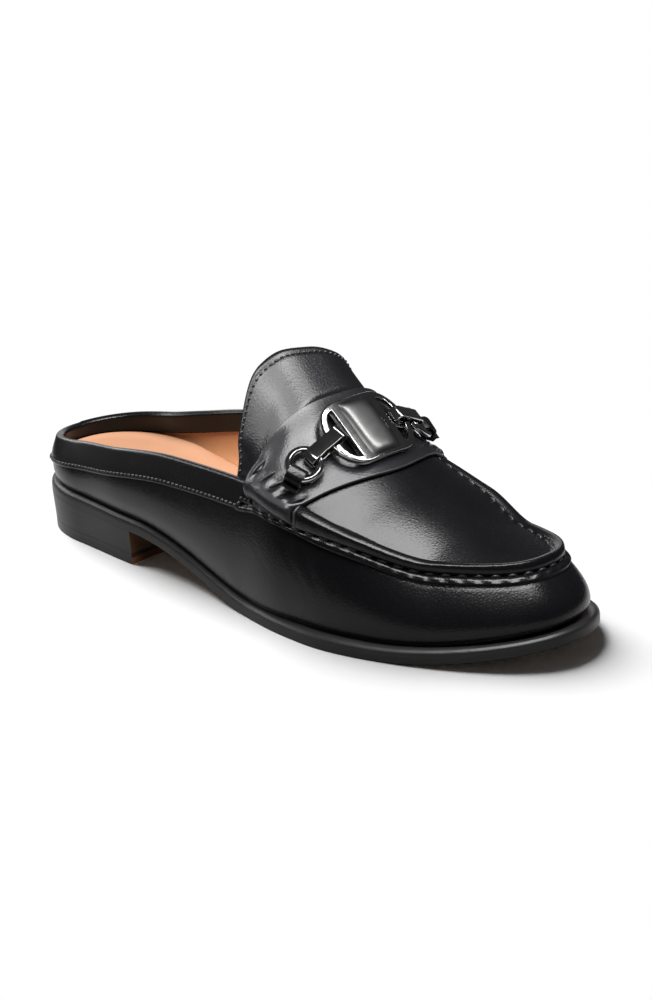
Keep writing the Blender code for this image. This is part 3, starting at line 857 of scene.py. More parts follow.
def stitch_row(name, rows, thread_material):
    """Stitches as bent capsules that dive into the leather at both ends, one mesh for several rows."""
    points = []
    faces = []
    turn = 2.0 * np.pi * np.arange(STITCH_AROUND) / STITCH_AROUND
    t = np.linspace(0.0, 1.0, STITCH_STEPS)
    hump = np.sin(np.pi * t) ** 0.6
    for path, up, pitch, length, radius, start in rows:
        u = along_path(path)
        count = int((u[-1] - start - length) / pitch) + 1
        at = start + pitch * np.arange(count)[:, None] + length * t[None, :]
        spine = np.stack([np.interp(at, u, path[:, c]) for c in range(3)], -1)
        lift = unit(np.stack([np.interp(at, u, up[:, c]) for c in range(3)], -1))
        along = unit(np.gradient(spine, axis=1))
        sideways = unit(np.cross(along, lift))
        spine = spine + lift * (radius * (STITCH_RISE * hump - STITCH_SUNK))[None, :, None]
        size = (radius * (STITCH_ENDS + (1.0 - STITCH_ENDS) * hump))[None, :, None]
        across = sideways[:, :, None] * (np.cos(turn) * size)[..., None]
        upright = lift[:, :, None] * (np.sin(turn) * size * STITCH_FLAT)[..., None]
        ring = spine[:, :, None] + across + upright
        for stitch in ring:
            first = sum(len(p) for p in points)
            points.append(stitch.reshape(-1, 3))
            index = first + np.arange(STITCH_STEPS * STITCH_AROUND).reshape(STITCH_STEPS, STITCH_AROUND)
            beside = np.roll(index, -1, 1)
            quads = np.stack([index[:-1], beside[:-1], beside[1:], index[1:]], -1).reshape(-1, 4)
            faces += quads.tolist()
            faces.append(index[0].tolist())
            faces.append(index[-1].tolist())
    mesh = bpy.data.meshes.new(name)
    mesh.from_pydata(to_world(np.concatenate(points)).tolist(), [], faces)
    turn_outwards(mesh)
    return add(name, mesh, [thread_material], 60.0)


def stitches_along(path, up, pitch, shares, radius):
    """A row for stitch_row: where it runs, its pitch, and each stitch's length, radius and start."""
    length, start, thickness = shares
    return path, up, pitch, pitch * length, radius * thickness, pitch * start


def one_stitch(path, up, shares, radius):
    """A single stitch over the whole of a path."""
    length, start, thickness = shares
    run = along_path(path)[-1]
    return path, up, run * 2.0, run * length, radius * thickness, run * start


def creased(side, top, depth):
    """How far the leather sinks at places on one side's wall."""
    sink = np.zeros(np.broadcast(top, depth).shape)
    for crease_side, station, below, length, breadth, lean, deep in CREASES:
        v = depth - below
        u = top - station - lean * v
        trough = np.exp(-((u / breadth) ** 2))
        lips = 0.5 * np.exp(-(((np.abs(u) - 2.2 * breadth) / breadth) ** 2))
        fade = np.exp(-((v / (length / 2.0)) ** 2))
        sink += (side == crease_side) * deep * (trough - lips) * fade
    return sink


def seam_section(top, side, pucker):
    """Rows down the wall from the top line: depth, raise, and how far each leans to the apron's normal."""
    valley = through(VALLEY, top)
    step = through(STEP, top)
    ridge = np.where(side < 0, through(RIDGE, top), through(RIDGE_MEDIAL, top))
    rows = []
    for turn in np.linspace(0.0, np.pi / 2, RIDGE_ROWS):
        raise_by = VALLEY_HEIGHT + (ridge - VALLEY_HEIGHT) * math.cos(turn)
        raise_by = raise_by + RIDGE_PUCKER * pucker * math.sin(turn * 2)
        rows.append((valley * math.sin(turn), raise_by, math.cos(turn)))
    for t in np.linspace(0.0, 1.0, FLANGE_ROWS)[1:]:
        raise_by = VALLEY_HEIGHT + (FLANGE - VALLEY_HEIGHT) * float(ease(0.0, 0.6, t))
        raise_by = raise_by + FLANGE_PUCKER * pucker * math.sin(math.pi * t)
        rows.append((valley + (step - valley) * t, raise_by, 0.0))
    for below, raise_by in FLANGE_EDGE:
        rows.append((step + below, raise_by + 0.0 * step, 0.0))
    return rows


def from_toe(line):
    """Distance of each point of the top line from the toe, along its own side."""
    lateral = along_path(line[: LAST + 1])
    medial = along_path(line[[(2 * LAST - k) % len(line) for k in range(LAST + 1)]])
    return np.concatenate([lateral[-1] - lateral, (medial[-1] - medial)[-2:0:-1]])


def plain_apron(rows):
    """The apron before its edge is raised, and its upward normals."""
    half = top_half(rows)
    inwards = np.array(APRON_EDGE)[None, :] * np.minimum(1.0, half / APRON_NARROW)[:, None]
    inner = np.maximum(half[:, None] - inwards, 0.0) / np.maximum(half, 1e-6)[:, None]
    middle = inner[:, -1:] * np.linspace(-1.0, 1.0, APRON_MIDDLE)[None, 1:-1]
    a = np.concatenate([-inner, middle, inner[:, ::-1]], 1)
    plug = arch(a, np.broadcast_to(rows[:, None], a.shape))
    up = upwards(normals(plug))
    up[-1] = up[-2, up.shape[1] // 2]
    return plug, up


def upper_shape(pitch):
    """The dressed wall and apron, with the paths that the thread follows."""
    s = LOOP[:, 1]
    low = feather(s, LOOP_OUT, LOOP)
    high = top_line(s, SIDE)
    reach = np.linalg.norm(high - low, axis=1)
    top = top_station(s)
    ridge_raised = ease(*RIDGE_FROM, top)
    flange_raised = ease(*FLANGE_FROM, top)
    pucker = np.cos(2.0 * np.pi * from_toe(high) / pitch)
    section = seam_section(top, SIDE, pucker)
    lowest = section[-1][0]
    depths = [row[0] for row in section]
    for t in np.linspace(0.0, 1.0, WALL_ROWS)[1:]:
        depths.append(lowest + (reach - lowest) * t)
    depths = np.stack(depths)[::-1]
    heights = np.zeros_like(depths)
    leans = np.zeros(len(depths))
    for row, (_, raise_by, lean) in enumerate(section):
        heights[-1 - row] = raise_by * (ridge_raised if lean > 0.1 else flange_raised)
        leans[-1 - row] = lean
    wall = np.stack([wall_points(low, high, LOOP_OUT, s, depth) for depth in depths])
    out = normals(wall, True)
    lined_wall = wall - out * WALL
    plug, up = plain_apron(top[THROAT_K : LAST + 1])
    seam_up = np.concatenate([up[:, 0], up[:-1, -1][::-1]])
    bisector = out[-1].copy()
    bisector[SEAM_K] = unit(out[-1, SEAM_K] + seam_up)
    lined_wall[-1, SEAM_K] = wall[-1, SEAM_K] - bisector[SEAM_K] * WALL * SEAM_WALL
    lined_plug = plug - up * WALL
    for row in range(len(wall)):
        direction = unit(out[row] * (1.0 - leans[row]) + bisector * leans[row])
        sink = creased(SIDE, top, depths[row]) * ease(*CREASES_FROM, depths[row])
        wall[row] += direction * (heights[row] - sink)[:, None]
    raise_plug(plug, up, high[SEAM_K], bisector[SEAM_K], heights[-1, SEAM_K])
    for apron, side_wall in ((plug, wall), (lined_plug, lined_wall)):
        apron[:, 0] = side_wall[-1, THROAT_K : LAST + 1]
        apron[:, -1] = side_wall[-1, [2 * LAST - k for k in range(THROAT_K, LAST + 1)]]
        apron[-1] = side_wall[-1, LAST]
    valley_row = len(wall) - RIDGE_ROWS
    return wall, plug, lined_wall, lined_plug, out, up, valley_row


def raise_plug(plug, up, line, lean, heights):
    """Lifts the apron's edge into the inner half of the ridge, and rolls it softly across the vamp."""
    parts = 5
    fine = np.linspace(0.0, len(line) - 1.0, (len(line) - 1) * parts + 1)
    count = np.arange(len(line))
    path = np.stack([np.interp(fine, count, line[:, c]) for c in range(2)], 1)
    tree = kdtree.KDTree(len(path))
    for i, (x, y) in enumerate(path):
        tree.insert((x, y, 0.0), i)
    tree.balance()
    for r in range(plug.shape[0]):
        for c in range(plug.shape[1]):
            x, s, _ = plug[r, c]
            _, i, away = tree.find((x, s, 0.0))
            k = min(int(round(fine[i])), len(line) - 1)
            t = min(away / RIDGE_INWARDS, 1.0)
            lift = heights[k] * (1.0 - t**2.0) ** RIDGE_POWER
            direction = up[r, c] * t + lean[k] * (1.0 - t)
            direction = direction / max(np.linalg.norm(direction), 1e-9)
            dip = sum(deep * math.exp(-(((s - at) / wide) ** 2)) for at, wide, deep in ROLLS)
            dip *= float(ease(*ROLLS_FROM, away))
            plug[r, c] += direction * lift - up[r, c] * dip


def build_sole(context):
    rims = (np.linspace(0.0, 1.0, 6), np.linspace(1.4, 3.6, 7), np.linspace(3.8, SOLE, 7))
    loops = []
    for height in np.concatenate(rims):
        plan = LOOP - LOOP_OUT * through(SOLE_EDGE, height)
        loops.append(at_height(plan, sole_bottom(np.clip(plan[:, 1], 0, LENGTH)) + height))
    sides = wrap(np.stack(loops))
    tread = material("sole_leather", sole_leather, context.scene.mule_leather)
    patches = [(sides, 0), (cap(loops[0], 16), 1), (cap(loops[-1], 16), 0)]
    piece = surface("sole", patches, [edge_of(context), tread], 50.0)
    settle(piece, "sole_edge", "outsole")


def heel_grid(level, inset, across):
    """The heel at one level: rows from its back to its breast, columns from lateral to medial."""
    steps = 48
    reach = BREAST * (1.0 - np.cos(np.pi / 2 * np.arange(steps + 1) / steps))
    s = inset + reach * (BREAST - inset) / BREAST
    outer = np.maximum(s - inset, 0.0)
    left = -np.maximum(sole_half(outer, -1) - inset, 0.0)
    right = np.maximum(sole_half(outer, 1) - inset, 0.0)
    x = left[:, None] + (right - left)[:, None] * (across + 1.0) / 2.0
    hollow = BREAST_HOLLOW * (1.0 - across**2) * ease(BREAST - HEEL_HOLLOW_LENGTH, BREAST, s)[:, None]
    row = s[:, None] - hollow
    z = level(row) if callable(level) else level + 0.0 * row
    return np.stack([x, row, z], -1)


def build_heel(context):
    leather = context.scene.mule_leather
    across = np.linspace(-1.0, 1.0, 25)
    stack = material("heel_stack_leather", heel_stack_leather, leather)
    tread = material("heel_tread", painted_edge, leather, "heel_tread")
    blocks = (
        ("heel_lift", 0.0, LIFT - LIFT_STEP, (HEEL_INSET, HEEL_INSET - LIFT_STEP), "heel_lift", "top_lift"),
        ("heel_layers", LIFT, seat_line, (HEEL_INSET - LIFT_STEP, 0.0), "sole_edge", "heel_stack"),
    )
    for name, low, high, insets, slot, node in blocks:
        lower = heel_grid(low, insets[0], across)
        upper = heel_grid(high, insets[1], across)
        t = np.linspace(0.0, 1.0, 7)[:, None, None]
        sides = [(lower[None, :, c] * (1 - t) + upper[None, :, c] * t, 0) for c in (0, -1)]
        breast = lower[None, -1] * (1 - t) + upper[None, -1] * t
        patches = [(lower, 2), (upper, 2), (breast, 1)] + sides
        piece = surface(name, patches, [edge_of(context), stack, tread], 35.0)
        settle(piece, slot, node)


def build_insole(context):
    s = LOOP[:, 1]
    inset = through(FEATHER_INSET, s) + WALL + SOCK_CLEAR
    swell = SOCK_SWELL * (through(BULGE, s) - BULGE[0][1]) * ease(*SOCK_SWELL_FROM, through(INSOLE, s))
    loops = []
    for edge, height, outwards in SOCK_EDGE:
        plan = LOOP - LOOP_OUT * (inset + edge - outwards * swell)[:, None]
        rise = SEAT_GAP + height * (through(INSOLE, plan[:, 1]) - SEAT_GAP)
        loops.append(at_height(plan, sole_bottom(plan[:, 1]) + SOLE + rise))
    top = cap(loops[-1], 36)
    wide = np.linalg.norm(top[:, -1] - top[:, 0], axis=1)[:, None]
    t = np.linspace(0.0, 1.0, 37)[None, :]
    from_edge = np.minimum(t, 1.0 - t) * wide
    dish = ease(0.0, SOCK_DISH_EDGE, from_edge) * ease(0.0, SOCK_DISH_WIDTH, wide)
    top[..., 2] -= SOCK_DISH * dish
    leather = context.scene.mule_leather
    sock = material("sock", tan_leather, "tan_sock", leather.sock, 0.2)
    patches = [(wrap(np.stack(loops)), 0), (cap(loops[0], 8), 0), (top, 0)]
    piece = surface("sock", patches, [sock], 50.0)
    settle(piece, "insole_leather", "insole")


def build_upper(context):
    wall, plug, lined_wall, lined_plug, _, _, _ = upper_shape(context.scene.mule_thread.apron_pitch / MM)
    collar = np.arange(2 * LAST - THROAT_K, 2 * LAST + THROAT_K + 1) % len(LOOP)
    rims = (
        wrap(np.stack([wall[0], lined_wall[0]])),
        np.stack([wall[-1, collar], lined_wall[-1, collar]]),
        np.stack([plug[0], lined_plug[0]]),
    )
    patches = [(wrap(wall), 0), (plug, 0), (wrap(lined_wall), 1), (lined_plug, 1)]
    patches += [(rim, 0) for rim in rims]
    piece = surface("quarters_and_apron", patches, [leather_of(context), lining_of(context)], 70.0)
    settle(piece, "upper_leather", "upper")


def band_base():
    """A function that gives points and normals of the binding, by depth below the top line and mm out."""
    lateral = [k for k in range(LAST) if top_station(S[k]) <= BAND_END]
    order = lateral[::-1] + [2 * LAST - k for k in lateral[1:]]
    s = LOOP[order, 1]
    low = feather(s, LOOP_OUT[order], LOOP[order])
    high = top_line(s, SIDE[order])
    depths = np.linspace(BAND_REACH, 0.0, BAND_REACH + 1)
    wall = np.stack([wall_points(low, high, LOOP_OUT[order], s, np.full(len(s), d)) for d in depths])
    out = -normals(wall)
    rise = unit(wall[-1] - wall[-2])
    edge = BAND_DEPTH - (BAND_DEPTH - BAND_END_DEPTH) * ease(*BAND_TAPER, top_station(s))
    column = np.arange(len(s))

    def at(depth, offset):
        deep = depth + (edge - BAND_DEPTH if depth > BAND_DEPTH / 2.0 else 0.0 * edge)
        row = np.clip(BAND_REACH - np.maximum(deep, 0.0), 0.0, BAND_REACH)
        i = np.minimum(row.astype(int), BAND_REACH - 1)
        f = (row - i)[:, None]
        point = wall[i, column] * (1.0 - f) + wall[i + 1, column] * f
        normal = unit(out[i, column] * (1.0 - f) + out[i + 1, column] * f)
        return point + normal * offset + rise * np.maximum(-deep, 0.0)[:, None], normal

    return at


def build_collar_band(context):
    at = band_base()
    face = BAND_GAP + BAND
    back = -(WALL + BAND_GAP + BAND)
    centre = (face + back) / 2.0
    radius = (face - back) / 2.0
    section = [(BAND_DEPTH + past, out) for past, out in BAND_FOOT]
    section += [(depth, face) for depth in np.linspace(BAND_DEPTH - 0.6, radius - face + 0.2, 14)]
    for turn in np.linspace(0.0, math.pi, 17):
        flat = math.copysign(abs(math.cos(turn)) ** BAND_SQUARE, math.cos(turn))
        section.append((radius - face - radius * math.sin(turn) ** BAND_SQUARE, centre + radius * flat))
    section += [(depth, back) for depth in np.linspace(1.4, BAND_INSIDE - 0.4, 9)]
    section += [(BAND_INSIDE + past, back + out) for past, out in BAND_HEM]
    fold = np.stack([at(depth, offset)[0] for depth, offset in section])
    piece = surface("collar_binding", [(fold[::-1], 0)], [leather_of(context)], 70.0)
    settle(piece, "upper_leather", "collar_band")


def saddle_grids():
    """Lower and upper faces of the strap over the instep, with a round roll over the seam at both ends."""
    rows = 46
    t = (1.0 - np.cos(np.pi * np.linspace(0.0, 1.0, rows))) / 2.0
    end_top = SADDLE_REAR[1] + t * (SADDLE_FRONT[1] - SADDLE_REAR[1])
    across = crowded(121, 0.93)
    rear = SADDLE_REAR[0] + (SADDLE_REAR[1] - SADDLE_REAR[0]) * np.abs(across) ** 3
    front = SADDLE_FRONT[0] + (SADDLE_FRONT[1] - SADDLE_FRONT[0]) * np.abs(across) ** 2
    s = rear[None, :] + t[:, None] * (front - rear)[None, :]
    crown = arch(np.broadcast_to(across[None, :], s.shape), s)
    crown_up = upwards(normals(crown))
    on_roll = ease(ROLL_FROM, ROLL_TO, np.abs(across)) ** 0.8
    crown_lift = SEAT_GAP + (ROLL_RISE - SEAT_GAP) * on_roll
    crown_part = (crown_lift, np.full(len(across), SADDLE), on_roll, across)
    parts = {}
    for side in (-1, 1):
        depths = np.linspace(SADDLE_WRAP, 0.0, 13)
        wall = np.stack([wall_at(side, end_top, np.full(rows, d)) for d in depths], 1)
        out = normals(wall)
        out *= np.where(out[..., :1] * side < 0, -1.0, 1.0)
        edge = 0 if side < 0 else -1
        turns = np.linspace(0.0, 1.0, 11)[1:-1]
        fan = np.stack([unit(out[:, -1] * (1 - f) + crown_up[:, edge] * f) for f in turns], 1)
        points = np.concatenate([wall, np.repeat(crown[:, edge][:, None], len(turns), 1)], 1)
        ways = np.concatenate([out, fan], 1)
        lift = np.concatenate([through(ROLL_UNDER, depths), np.full(len(turns), ROLL_RISE)])
        thick = np.concatenate([through(ROLL_THICK, depths), np.full(len(turns), SADDLE)])
        order = slice(None, None, -side)
        ones = np.ones(len(lift))
        parts[side] = (points[:, order], ways[:, order], lift[order], thick[order], ones, side * ones)
    grid = np.concatenate([parts[-1][0], crown, parts[1][0]], 1)
    ways = np.concatenate([parts[-1][1], crown_up, parts[1][1]], 1)
    lists = zip(parts[-1][2:], crown_part, parts[1][2:])
    lift, thick, roll, place = [np.concatenate(three) for three in lists]
    run = np.minimum(t, 1.0 - t) * (SADDLE_FRONT[1] - SADDLE_REAR[1])
    ends = rounded(1.0 - run / ROLL_END, 2.0)
    low_end = 1.0 - ROLL_PINCH * roll[None, :] * (1.0 - ends)[:, None]
    off_centre = np.abs(place)
    drop = SADDLE_DROP * (1.0 - ease(0.0, SADDLE_DROP_TO, t))[:, None]
    drop = drop * (1.0 - ease(*SADDLE_FLAT, off_centre))[None, :]
    full = ease(0.0, SADDLE_SKIVE_TO, t)[:, None] * (1.0 - roll) + roll
    skive = SADDLE_SKIVE + (1.0 - SADDLE_SKIVE) * full
    groove = ease(ROLL_FROM - PUCKER_REACH, ROLL_FROM, off_centre)
    groove = groove * (1.0 - ease(PUCKER_TO, 1.0, off_centre))
    pucker = PUCKER * np.cos(2.0 * np.pi * WHIPS * t)[:, None] * groove[None, :] * ends[:, None]
    lower = grid + ways * (lift[None, :] * low_end - drop)[..., None]
    pinched = 1.0 - ROLL_PINCH + ROLL_PINCH * low_end
    upper = lower + ways * (thick[None, :] * skive * pinched + pucker)[..., None]
    return lower, upper, ways, t, place


def whip_stitches():
    """Short threads across the groove beside each roll, one to every pucker."""
    _, upper, ways, t, place = saddle_grids()
    rows = []
    for side in (-1, 1):
        inner = int(np.argmin(np.abs(place - side * (ROLL_FROM - WHIP_REACH[0]))))
        outer = int(np.argmin(np.abs(place - side * (ROLL_FROM + WHIP_REACH[1]))))
        for whip in range(WHIPS):
            row = int(np.argmin(np.abs(t - (whip + 0.5) / WHIPS)))
            ahead = min(row + 2, len(t) - 1)
            f = np.linspace(0.0, 1.0, 9)[:, None]
            path = upper[ahead, inner] * (1.0 - f) + upper[row, outer] * f
            up = ways[ahead, inner] * (1.0 - f) + ways[row, outer] * f
            rows.append(one_stitch(path, up, WHIP_STITCH, WHIP_RADIUS))
    return rows


def build_saddle(context):
    lower, upper, _, _, _ = saddle_grids()
    finishes = [leather_of(context), edge_of(context), lining_of(context)]
    piece = slab("saddle", upper, lower, finishes, 0.45)
    settle(piece, "upper_leather", "saddle_strap")


def tongue_grids():
    """Face and back of the flap, its upward normals, and how far each point lies from its free edge."""
    a = crowded(91, 0.9)
    free = TONGUE_EDGE[0] + (TONGUE_EDGE[1] - TONGUE_EDGE[0]) * a**2 + TONGUE_TILT * a
    for place, breadth, forwards in TONGUE_SHOULDERS:
        free = free + forwards * np.exp(-(((a - place) / breadth) ** 2))
    t = np.linspace(0.0, 1.0, 60)[:, None] ** 1.5
    s = free[None, :] + t * (TONGUE_ROOT - free)[None, :]
    wide = np.broadcast_to(a[None, :], s.shape)
    collar = through(TOP_HEIGHT, s)
    grid = arch(wide, s, top_half(s) - TONGUE_CLEAR, collar - TONGUE_LOW)
    flare = ease(*TONGUE_FLARE_ABOVE, grid[..., 2] - collar) * (1.0 - ease(*TONGUE_FLARE_TO, s))
    grid[..., 0] += TONGUE_FLARE * wide * flare
    up = upwards(normals(grid))
    sunk = TONGUE_SUNK + (WALL + TONGUE_SUNK_MORE) * ease(TONGUE_SUNK_FROM, THROAT, s)
    from_edge = (s - free[None, :]) / TONGUE_SLOPE
    trough = TONGUE_TROUGH * np.exp(-(((from_edge - TONGUE_STITCH) / TONGUE_TROUGH_WIDTH) ** 2))
    turned = TONGUE_TURN * (1.0 - rounded(1.0 - from_edge / TONGUE_STITCH, 2.0))
    face = grid - up * (sunk + trough + turned)[..., None]
    return face, grid - up * (sunk + TONGUE)[..., None], up, from_edge


def build_tongue(context):
    face, back, _, _ = tongue_grids()
    finishes = [leather_of(context), edge_of(context), lining_of(context)]
    piece = slab("tongue_flap", face, back, finishes, 0.5)
    settle(piece, "upper_leather", "tongue")


def frame_on_saddle(x, s, lift):
    """A matrix on the strap: X across towards medial, Y up the instep, Z out of the leather."""
    small = 0.01
    s = np.array(s)
    a = np.array((x - top_centre(s)) / top_half(s))
    here = to_world(arch(a, s))
    across = to_world(arch(a + small, s)) - here
    along = to_world(arch(a, s - 1.0)) - here
    out = Vector(np.cross(across, along)).normalized()
    axis_x = Vector(across).normalized()
    axis_y = out.cross(axis_x)
    turn = Matrix((axis_x, axis_y, out)).transposed().to_4x4()
    place = Vector(here) + out * (SEAT_GAP + SADDLE + lift) * MM
    return Matrix.Translation(place) @ turn


def plate_frame():
    return frame_on_saddle(PLATE_X, PLATE_S, PLATE_LIFT + PLATE_THICK / 2.0)


def ring_frame(side):
    return frame_on_saddle(side * RING_X, RING_S, WIRE + RING_LIFT)


def outline_solid(name, outlines, thickness, finish, matrix, bevel, bend=0.0, upright=False, trim=True):
    """A flat outline with its holes, given thickness and round edges, bent down away from its middle."""
    curve = bpy.data.curves.new(name, "CURVE")
    curve.dimensions = "2D"
    curve.fill_mode = "BOTH"
    curve.extrude = (thickness / 2.0 - bevel) * MM
    curve.bevel_depth = bevel * MM
    curve.bevel_resolution = 3
    curve.offset = -bevel * MM if trim else 0.0
    for outline in outlines:
        spline = curve.splines.new("POLY")
        spline.points.add(len(outline) - 1)
        for point, (x, y) in zip(spline.points, outline):
            point.co = (x * MM, y * MM, 0.0, 1.0)
        spline.use_cyclic_u = True
    guide = bpy.data.objects.new(name + "_outline", curve)
    bpy.context.scene.collection.objects.link(guide)
    mesh = bpy.data.meshes.new_from_object(guide.evaluated_get(bpy.context.evaluated_depsgraph_get()))
    bpy.data.objects.remove(guide)
    work = bmesh.new()
    work.from_mesh(mesh)
    bmesh.ops.remove_doubles(work, verts=work.verts, dist=1e-6)
    if bend:
        for cut in np.arange(-BEND_REACH, BEND_REACH + 0.1, 1.0):
            everything = work.verts[:] + work.edges[:] + work.faces[:]
            where = (cut * MM, 0, 0)
            bmesh.ops.bisect_plane(work, geom=everything, plane_co=where, plane_no=(1, 0, 0), dist=1e-7)
        for vertex in work.verts:
            vertex.co.z -= bend * (vertex.co.x / MM) ** 2 * MM
    if upright:
        matrix = matrix @ Matrix.Rotation(math.pi / 2, 4, "X")
    bmesh.ops.transform(work, matrix=matrix, verts=work.verts)
    work.to_mesh(mesh)
    work.free()
    mesh.name = name
    turn_outwards(mesh)
    mesh.materials.clear()
    return add(name, mesh, [finish], 32.0)


def stadium(x0, x1, y, radius, steps=20):
    """A slot's outline: a half round at x1, then one at x0."""
    points = []
    for x, first in ((x1, -math.pi / 2), (x0, math.pi / 2)):
        for i in range(steps + 1):
            t = first + math.pi * i / steps
            points.append((x + radius * math.cos(t), y + radius * math.sin(t)))
    return points


def d_loop(side, depth, half, straight):
    """A D with its straight edge at x = straight and its bow away from the middle."""
    steps = 48
    points = []
    for i in range(steps + 1):
        t = math.pi * i / steps
        points.append((side * (straight + depth * math.sin(t)), half * math.cos(t)))
    return points


def build_bit_centre(metal, satin):
    """A plain plate with a D loop on either side, and a smooth low dome on the plate."""
    right = d_loop(1, LOOP_DEPTH, LOOP_HALF, PLATE_HALF)
    left = d_loop(-1, LOOP_DEPTH, LOOP_HALF, PLATE_HALF)
    depth = LOOP_DEPTH - LOOP_BAND - LOOP_BAR
    holes = [d_loop(side, depth, LOOP_HALF - LOOP_BAND, PLATE_HALF + LOOP_BAR) for side in (1, -1)]
    outline = right + left[::-1]
    outlines = [outline] + holes
    place = plate_frame()
    piece = outline_solid(
        "bit_plate_and_loops", outlines, PLATE_THICK, metal, place, PLATE_BEVEL, PLATE_BEND
    )
    settle(piece, "bit_metal", "bit_centre")
    across = crowded(DOME_POINTS, 1.0)
    x, y = np.meshgrid(across, across)
    low = 1.0 - (1.0 - np.abs(x) ** DOME_POWERS[0]) * (1.0 - np.abs(y) ** DOME_POWERS[1])
    z = PLATE_THICK / 2.0 - DOME_SUNK + DOME_RISE * (1.0 - low**2)
    x = x * (PLATE_HALF - DOME_MARGIN[0])
    y = y * (LOOP_HALF - DOME_MARGIN[1])
    points = np.stack([x, y, z - PLATE_BEND * x**2], -1) * MM
    work = bmesh.new()
    rows = [[work.verts.new(point) for point in row] for row in points.tolist()]
    for row, ahead in zip(rows, rows[1:]):
        for c in range(len(row) - 1):
            work.faces.new((row[c], row[c + 1], ahead[c + 1], ahead[c]))
    bmesh.ops.transform(work, matrix=place, verts=work.verts)
    mesh = bpy.data.meshes.new("bit_dome")
    work.to_mesh(mesh)
    work.free()
    dome = add("bit_dome", mesh, [satin], 60.0)
    settle(dome, "bit_metal")


def build_ring(word, side, metal):
    bpy.ops.mesh.primitive_torus_add(
        major_segments=72, minor_segments=24, major_radius=RING_R * MM, minor_radius=WIRE * MM
    )
    made = bpy.context.object
    mesh = made.data
    bpy.data.objects.remove(made)
    mesh.name = "bit_ring_" + word
    mesh.transform(ring_frame(side))
    piece = add("bit_ring_" + word, mesh, [metal])
    settle(piece, "bit_metal", "ring_" + word)


def build_link(word, side, metal):
    """A flat metal band closed round the inner side of a ring and the bow of the D loop beside it."""
    reach = PLATE_HALF + LOOP_DEPTH - LOOP_BAND / 2.0
    far = plate_frame() @ Vector((side * reach * MM, 0.0, -PLATE_BEND * reach**2 * MM))
    middle = ring_frame(side).translation
    facing = ring_frame(side).to_3x3().col[2].normalized()
    towards = far - middle
    towards = (towards - facing * towards.dot(facing)).normalized()
    near = middle + towards * RING_R * MM
    axis_x = (far - near).normalized()
    axis_y = facing.cross(axis_x).normalized()
    axis_z = axis_x.cross(axis_y)
    turn = Matrix((axis_x, axis_y, axis_z)).transposed().to_4x4()
    matrix = Matrix.Translation(near) @ turn
    gap = (far - near).length / MM
    slot = PLATE_THICK / 2.0 + LINK_CLEAR
    low = -LINK_SLACK[0]
    high = gap + LINK_SLACK[1] - slot
    outlines = [stadium(low, high, 0.0, slot + LINK_WALL), stadium(low, high, 0.0, slot)]
    piece = outline_solid("bit_link_" + word, outlines, LINK_WIDTH, metal, matrix, LINK_BEVEL, upright=True)
    settle(piece, "bit_metal", "link_" + word)


def build_bit(context):
    plating = context.scene.mule_metal
    metal = material("polished_metal", dark_metal, plating, "polished_metal", plating.roughness, 1.0)
    satin = material("satin_metal", dark_metal, plating, "satin_metal", plating.satin, 0.5)
    build_bit_centre(metal, satin)
    for word, side in SIDES:
        build_ring(word, side, metal)
        build_link(word, side, metal)


def build_tabs(context):
    """Leather strips looped through the rings, their tails lying towards the ends of the strap."""
    finish = leather_of(context)
    for word, side in SIDES:
        matrix = ring_frame(side) @ Matrix.Translation((side * RING_R * MM, 0.0, 0.0))
        if side > 0:
            matrix = matrix @ Matrix.Rotation(math.pi, 4, "Z")
        hole = WIRE + SEAT_GAP + TAB_CLEAR
        sag = RING_R - math.sqrt(RING_R**2 - (TAB_WIDTH / 2.0) ** 2)
        bow = stadium(0.0, sag, 0.0, hole + TAB_WALL - TAB_BEVEL)
        tail = [(-TAB_TAIL, face - WIRE) for face in TAB_TAIL_FACES]
        outer = bow[:-4] + tail[::-1] + bow[-1:]
        outlines = [outer, stadium(0.0, sag, 0.0, hole)]
        piece = outline_solid(
            "ring_tab_" + word, outlines, TAB_WIDTH, finish, matrix, TAB_BEVEL, upright=True, trim=False
        )
        settle(piece, "upper_leather", "tab_" + word)


